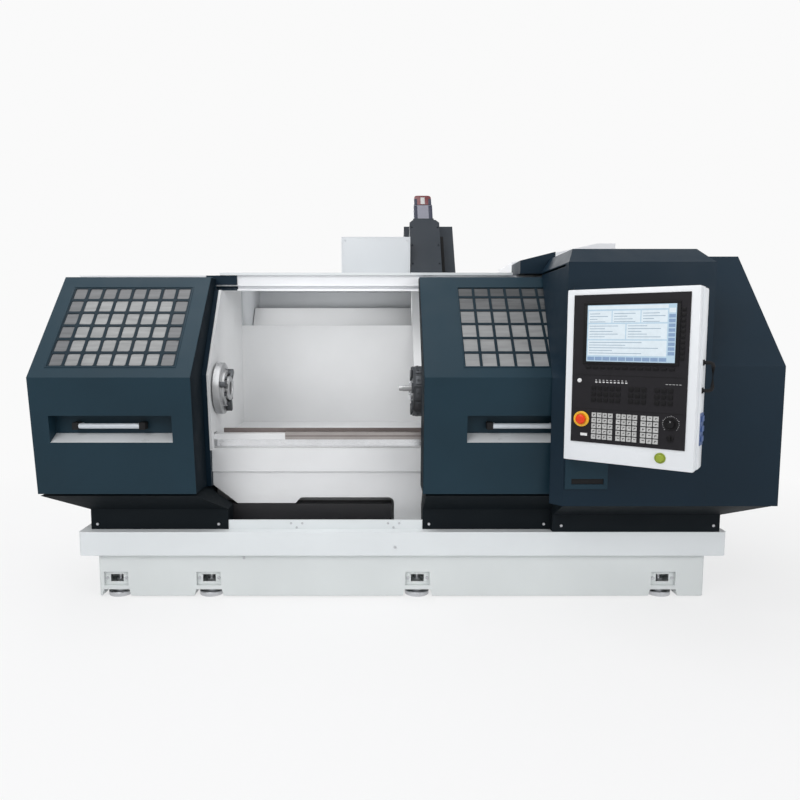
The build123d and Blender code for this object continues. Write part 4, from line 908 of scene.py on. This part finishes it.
def thin_parts():
    """Folded returns with a dark liner as painted shade in the rail's groove, a slot painted black
    as its shade, wipers, a liner that paints the shade in the channel under the way cover, and
    brushes, too thin for the solids.
    """
    plate = Piece("header_plate_returns_and_groove_shade")
    plate.block((-0.965, -0.053, 1.4690), (-0.9165, -0.0452, 1.5195), 0)
    plate.block((-0.965, -0.0505, 1.4455), (-0.812, -0.0452, 1.4515), 0)
    # Dark liner at the back of the rail's groove: painted shade inside the groove
    plate.block((-0.965, -0.0262, 1.4522), (-0.812, -0.0252, 1.4678), 0)
    plate.done(navy_dark, "machine", "cover_navy")

    head = Piece("left_wall_head")
    head.block((-0.895, 0.0055, 1.445), (-0.8835, 0.390, 1.5195), 0)
    head.done(inner_white, "machine", "shell_white")

    # Black strip on the cabinet's lower panel: painted shade for the inside of a handle slot
    slot = Piece("low_panel_slot_shade")
    slot.block((0.7292, -0.6195, 0.5832), (0.8678, -0.6172, 0.6068), 0)
    slot.done(rubber, "machine", "rubber_black")

    wiper = Piece("way_cover_wipers")
    wiper.block((-0.848, -0.2495, 0.7535), (0.558, -0.2455, 0.7760), 0.0008)
    wiper.block((-0.5445, -0.3008, 0.7415), (0.558, -0.2998, 0.7460), 0)
    wiper.done(wiper_brown, "machine", "rubber_black")

    # Stainless sheet in the channel under the way cover: its grey paints the shade in the channel
    channel = Piece("way_channel_shade_liner")
    channel.block((-0.8825, -0.2726, 0.6905), (0.559, -0.2718, 0.7268), 0)
    channel.done(stainless, "machine", "stainless")

    brushes = Piece("roof_slot_brushes")
    for y, side in ((ROOF_SLOT[0], 1), (ROOF_SLOT[1], -1)):
        y0, y1 = sorted((y, y + side * 0.005))
        brushes.block((-0.878, y0, 1.505), (0.560, y1, 1.519), 0.001)
    brushes.done(rubber, "machine", "rubber_black")


# Column and motor on the slide


def on_slide(x, up, out):
    """Point on the inclined slide."""
    a = radians(SLIDE_ANGLE)
    y, z = SLIDE
    return Vector((x, y + up * cos(a) - out * sin(a), z + up * sin(a) + out * cos(a)))


def slide_place(x, up, out):
    """Frame on the slide's front: X to the right, Y up the slide, Z outwards."""
    a = radians(SLIDE_ANGLE)
    along, normal = Vector((0, cos(a), sin(a))), Vector((0, -sin(a), cos(a)))
    place = Matrix((Vector((1, 0, 0)), along, normal)).transposed().to_4x4()
    place.translation = on_slide(x, up, out)
    return place


def column_place(x):
    """Frame on the column's front where it ends at the top, turned as the slide."""
    a = radians(SLIDE_ANGLE)
    top = (COLUMN_TOP - SLIDE[1] - SADDLE_OUT * cos(a)) / sin(a)
    return slide_place(x, top, COLUMN_FRONT)


def column_fittings():
    """Screws of the column and the motor, a painted shadow in the gap beside the column, and the
    saddle's shield.
    """
    front = column_place(COLUMN[0])
    wide = COLUMN[1] - COLUMN[0]
    screws = Piece("column_screws")
    for x in (0.012, wide - 0.012):
        for y in (-0.060, -0.200, -0.340):
            screws.bolt(front @ moved(x, y, 0.0), 0.005, 0.004)
    for x in (0.010, MOTOR_SIDE - 0.010):
        place = column_place(MOTOR_LEFT) @ moved(x, MOTOR_LENGTH - 0.010, -0.007)
        screws.bolt(place, 0.0045, 0.005)
    screws.done(column_paint, "carriage", "motor_grey")

    # Black strip beside the column: painted shadow in the gap between the column and the saddle's
    # wing
    gap = Piece("column_gap_shadow")
    gap.block((wide, -0.380, -COLUMN_THICK), (wide + 0.033, -0.022, -COLUMN_THICK + 0.0002), 0,
              front)
    gap.done(rubber, "carriage", "rubber_black")

    shield = Piece("saddle_inner_shield")
    place = slide_place(SADDLE_LEFT, 0, SADDLE_OUT)
    shield.block((-0.014, 0.020, 0.0), (0.036, 0.822, 0.0015), 0, place)
    shield.block((-0.014, 0.020, -0.016), (-0.0125, 0.586, 0.0), 0, place)
    shield.block((-0.014, 0.586, -0.110), (-0.0125, 0.822, 0.0), 0, place)
    shield.done(inner_white, "carriage", "shell_white")


def motor_fittings():
    """Dark strips painted as shade on the motor's sides, flange, and red cap with a pale painted
    highlight, of the motor that stands on the column.
    """
    motor = column_place(MOTOR_LEFT)
    side = MOTOR_SIDE
    near, far = MOTOR_AXIS + side / 2, MOTOR_AXIS - side / 2
    low, high = MOTOR_LENGTH, MOTOR_LENGTH + MOTOR_CAP
    # Dark strips down both sides of the motor and its cap: painted shade
    side_shade = Piece("motor_side_shade_strips")
    for x0, x1 in ((-0.0005, 0.022), (side - 0.024, side + 0.0005)):
        side_shade.block((x0, 0.013, near - 0.012), (x1, low - 0.004, near + 0.0008), 0.003, motor)
    for x0, x1 in ((0.0035, 0.022), (side - 0.022, side - 0.0035)):
        side_shade.block((x0, low + 0.004, near - 0.020), (x1, low + 0.058, near - 0.0035), 0.002, motor)
    side_shade.done(motor_side_shade, "carriage", "motor_grey")

    flange = Piece("motor_flange")
    flange.block((-0.006, 0.0, far - 0.004), (side + 0.006, 0.012, near + 0.004), 0.002, motor)
    for y in (0.050, 0.078):
        flange.block((0.004, y, -0.008), (side - 0.004, y + 0.004, -0.005), 0.001, motor)
    flange.done(column_paint, "carriage", "motor_grey")

    cap = Piece("motor_cap_shell")
    left, right, corner = 0.004, side - 0.004, 0.016
    outline = [(left, low), (right, low), (right, high - corner),
               (right - corner * 0.3, high - corner * 0.3), (right - corner, high),
               (left + corner, high), (left + corner * 0.3, high - corner * 0.3),
               (left, high - corner)]
    cap.prism(outline, far + 0.004, near - 0.004, motor, 0.004)
    cap.done(motor_red, "carriage", "motor_red", "motor_cap")
    band = Piece("motor_cap_band")
    band.block((0.0, low - 0.004, far), (side, low + 0.004, near), 0.002, motor)
    band.done(column_paint, "carriage", "motor_grey")
    # Pale patch on the front of the red cap: a painted highlight where the cap's gloss catches the
    # lamp
    window = Piece("motor_cap_highlight")
    window.block((side / 2 - 0.013, low + 0.012, near - 0.005),
                 (side / 2 + 0.013, high - 0.018, near - 0.002), 0.001, motor)
    window.done(key_light, "carriage", "shell_white")


def side_box_fittings():
    """Lid of the white box beside the column, with its screws."""
    lid = Piece("side_box_lid")
    metal = Piece("side_box_screws")
    face = face_place((-0.313, 0.430, 1.560), (0, -1, 0))
    lid.block((0.010, 0.010, 0), (0.383, 0.210, 0.0025), 0.001, face)
    for x in (0.020, 0.373):
        for y in (0.020, 0.200):
            metal.bolt(face @ moved(x, y, 0.0025), 0.005, 0.003)
    lid.done(box_white, "carriage", "shell_white")
    metal.done(box_white, "carriage", "shell_white")


# Light, floor and camera

BACKDROP = (0.955, 0.955, 0.955, 1)

# Name, place, what it points at, size and watts
LAMPS = (
    ("key_lamp", (-3.2, -4.6, 4.4), (0, 0, 0.9), (3.2, 3.2), 140),
    ("fill_lamp", (3.8, -4.2, 3.0), (0.3, 0, 0.9), (3.0, 3.0), 85),
    ("top_lamp", (-1.2, -0.6, 5.2), (-0.4, 0, 0.8), (3.6, 3.6), 100),
    ("rear_lamp", (-1.5, 5.2, 3.6), (0, 0, 1.0), (3.4, 3.4), 90),
    ("work_lamp", (-0.16, -0.14, 1.30), (-0.16, 0.50, 1.10), (1.00, 0.20), 1.55),
    ("pocket_lamp", (-0.36, 0.43, 1.33), (-0.36, 0.80, 1.60), (0.84, 0.08), 0.8),
)


def seen_only(tree, lit_shader, plain_shader):
    """The plain shader for the camera, reflections and sheets, and the lit one elsewhere."""
    path = tree.nodes.new("ShaderNodeLightPath")
    seen = path.outputs["Is Camera Ray"]
    for ray in ("Is Glossy Ray", "Is Transmission Ray"):
        either = tree.nodes.new("ShaderNodeMath")
        either.operation = "MAXIMUM"
        tree.links.new(seen, either.inputs[0])
        tree.links.new(path.outputs[ray], either.inputs[1])
        seen = either.outputs[0]
    mix = tree.nodes.new("ShaderNodeMixShader")
    tree.links.new(seen, mix.inputs[0])
    tree.links.new(lit_shader, mix.inputs[1])
    tree.links.new(plain_shader, mix.inputs[2])
    return mix.outputs[0]


def add_world(scene):
    """Pale world that lights the model, before a plain backdrop."""
    world = bpy.data.worlds.new("studio")
    scene.world = world
    world.use_nodes = True
    tree = world.node_tree
    ambient = tree.nodes["Background"]
    ambient.inputs["Color"].default_value = (0.95, 0.97, 1.0, 1)
    ambient.inputs["Strength"].default_value = 0.42
    backdrop = tree.nodes.new("ShaderNodeBackground")
    backdrop.inputs["Color"].default_value = BACKDROP
    backdrop.inputs["Strength"].default_value = 1.0
    shown = seen_only(tree, ambient.outputs[0], backdrop.outputs[0])
    tree.links.new(shown, tree.nodes["World Output"].inputs["Surface"])


def add_floor(scene):
    """Pale floor that fades into the backdrop away from the model."""
    floor_data = bpy.data.meshes.new("studio_floor")
    half = 30
    corners = [(-half, -half, 0), (half, -half, 0), (half, half, 0), (-half, half, 0)]
    floor_data.from_pydata(corners, [], [(0, 1, 2, 3)])
    floor = bpy.data.objects.new("studio_floor", floor_data)
    scene.collection.objects.link(floor)
    mat, tree, shader = new_material("studio floor", (0.86, 0.86, 0.87), 0.7)
    glow = tree.nodes.new("ShaderNodeEmission")
    glow.inputs["Color"].default_value = BACKDROP
    place = tree.nodes.new("ShaderNodeTexCoord")
    reach = tree.nodes.new("ShaderNodeVectorMath")
    reach.operation = "LENGTH"
    tree.links.new(place.outputs["Object"], reach.inputs[0])
    fade = tree.nodes.new("ShaderNodeMapRange")
    for name, value in (("From Min", 1.6), ("From Max", 4.0), ("To Min", 0.72), ("To Max", 1.0)):
        fade.inputs[name].default_value = value
    tree.links.new(reach.outputs["Value"], fade.inputs["Value"])
    blend = tree.nodes.new("ShaderNodeMixShader")
    tree.links.new(fade.outputs["Result"], blend.inputs[0])
    tree.links.new(shader.outputs[0], blend.inputs[1])
    tree.links.new(glow.outputs[0], blend.inputs[2])
    shown = seen_only(tree, shader.outputs[0], blend.outputs[0])
    tree.links.new(shown, tree.nodes["Material Output"].inputs["Surface"])
    floor_data.materials.append(mat)


def add_lamps(scene):
    """Area lamps around the machine, in its work area and behind its back wall."""
    for name, place, target, size, power in LAMPS:
        lamp = bpy.data.lights.new(name, "AREA")
        lamp.shape = "RECTANGLE"
        lamp.size, lamp.size_y = size
        lamp.energy = power
        obj = bpy.data.objects.new(name, lamp)
        obj.visible_camera = False
        obj.location = place
        aim = Vector(target) - Vector(place)
        obj.rotation_euler = aim.to_track_quat("-Z", "Y").to_euler()
        scene.collection.objects.link(obj)


def add_camera(scene):
    """The photograph's camera."""
    camera = bpy.data.cameras.new("camera")
    camera.lens = CAMERA_LENS
    camera.sensor_width = SENSOR
    camera.shift_x = CAMERA_SHIFT_X
    obj = bpy.data.objects.new("camera", camera)
    obj.location = CAMERA
    obj.rotation_euler = (radians(90 - CAMERA_DOWN), 0, 0)
    scene.collection.objects.link(obj)
    scene.camera = obj


def studio():
    """World, floor, lamps and camera."""
    scene = bpy.context.scene
    scene.view_settings.view_transform = "Standard"
    add_world(scene)
    add_floor(scene)
    add_lamps(scene)
    add_camera(scene)


panel_keys()
screen_picture()
panel_marks()
panel_controls()
panel_case()
door_fittings("left", LEFT_DOOR_RIGHT, LEFT_WINDOW, LEFT_RECESS)
door_fittings("right", RIGHT_DOOR_LEFT, RIGHT_WINDOW, RIGHT_RECESS)
right_grille()
spindle_fittings()
turret_fittings()
low_fittings()
rear_doors()
end_doors()
thin_parts()
column_fittings()
motor_fittings()
side_box_fittings()
studio()
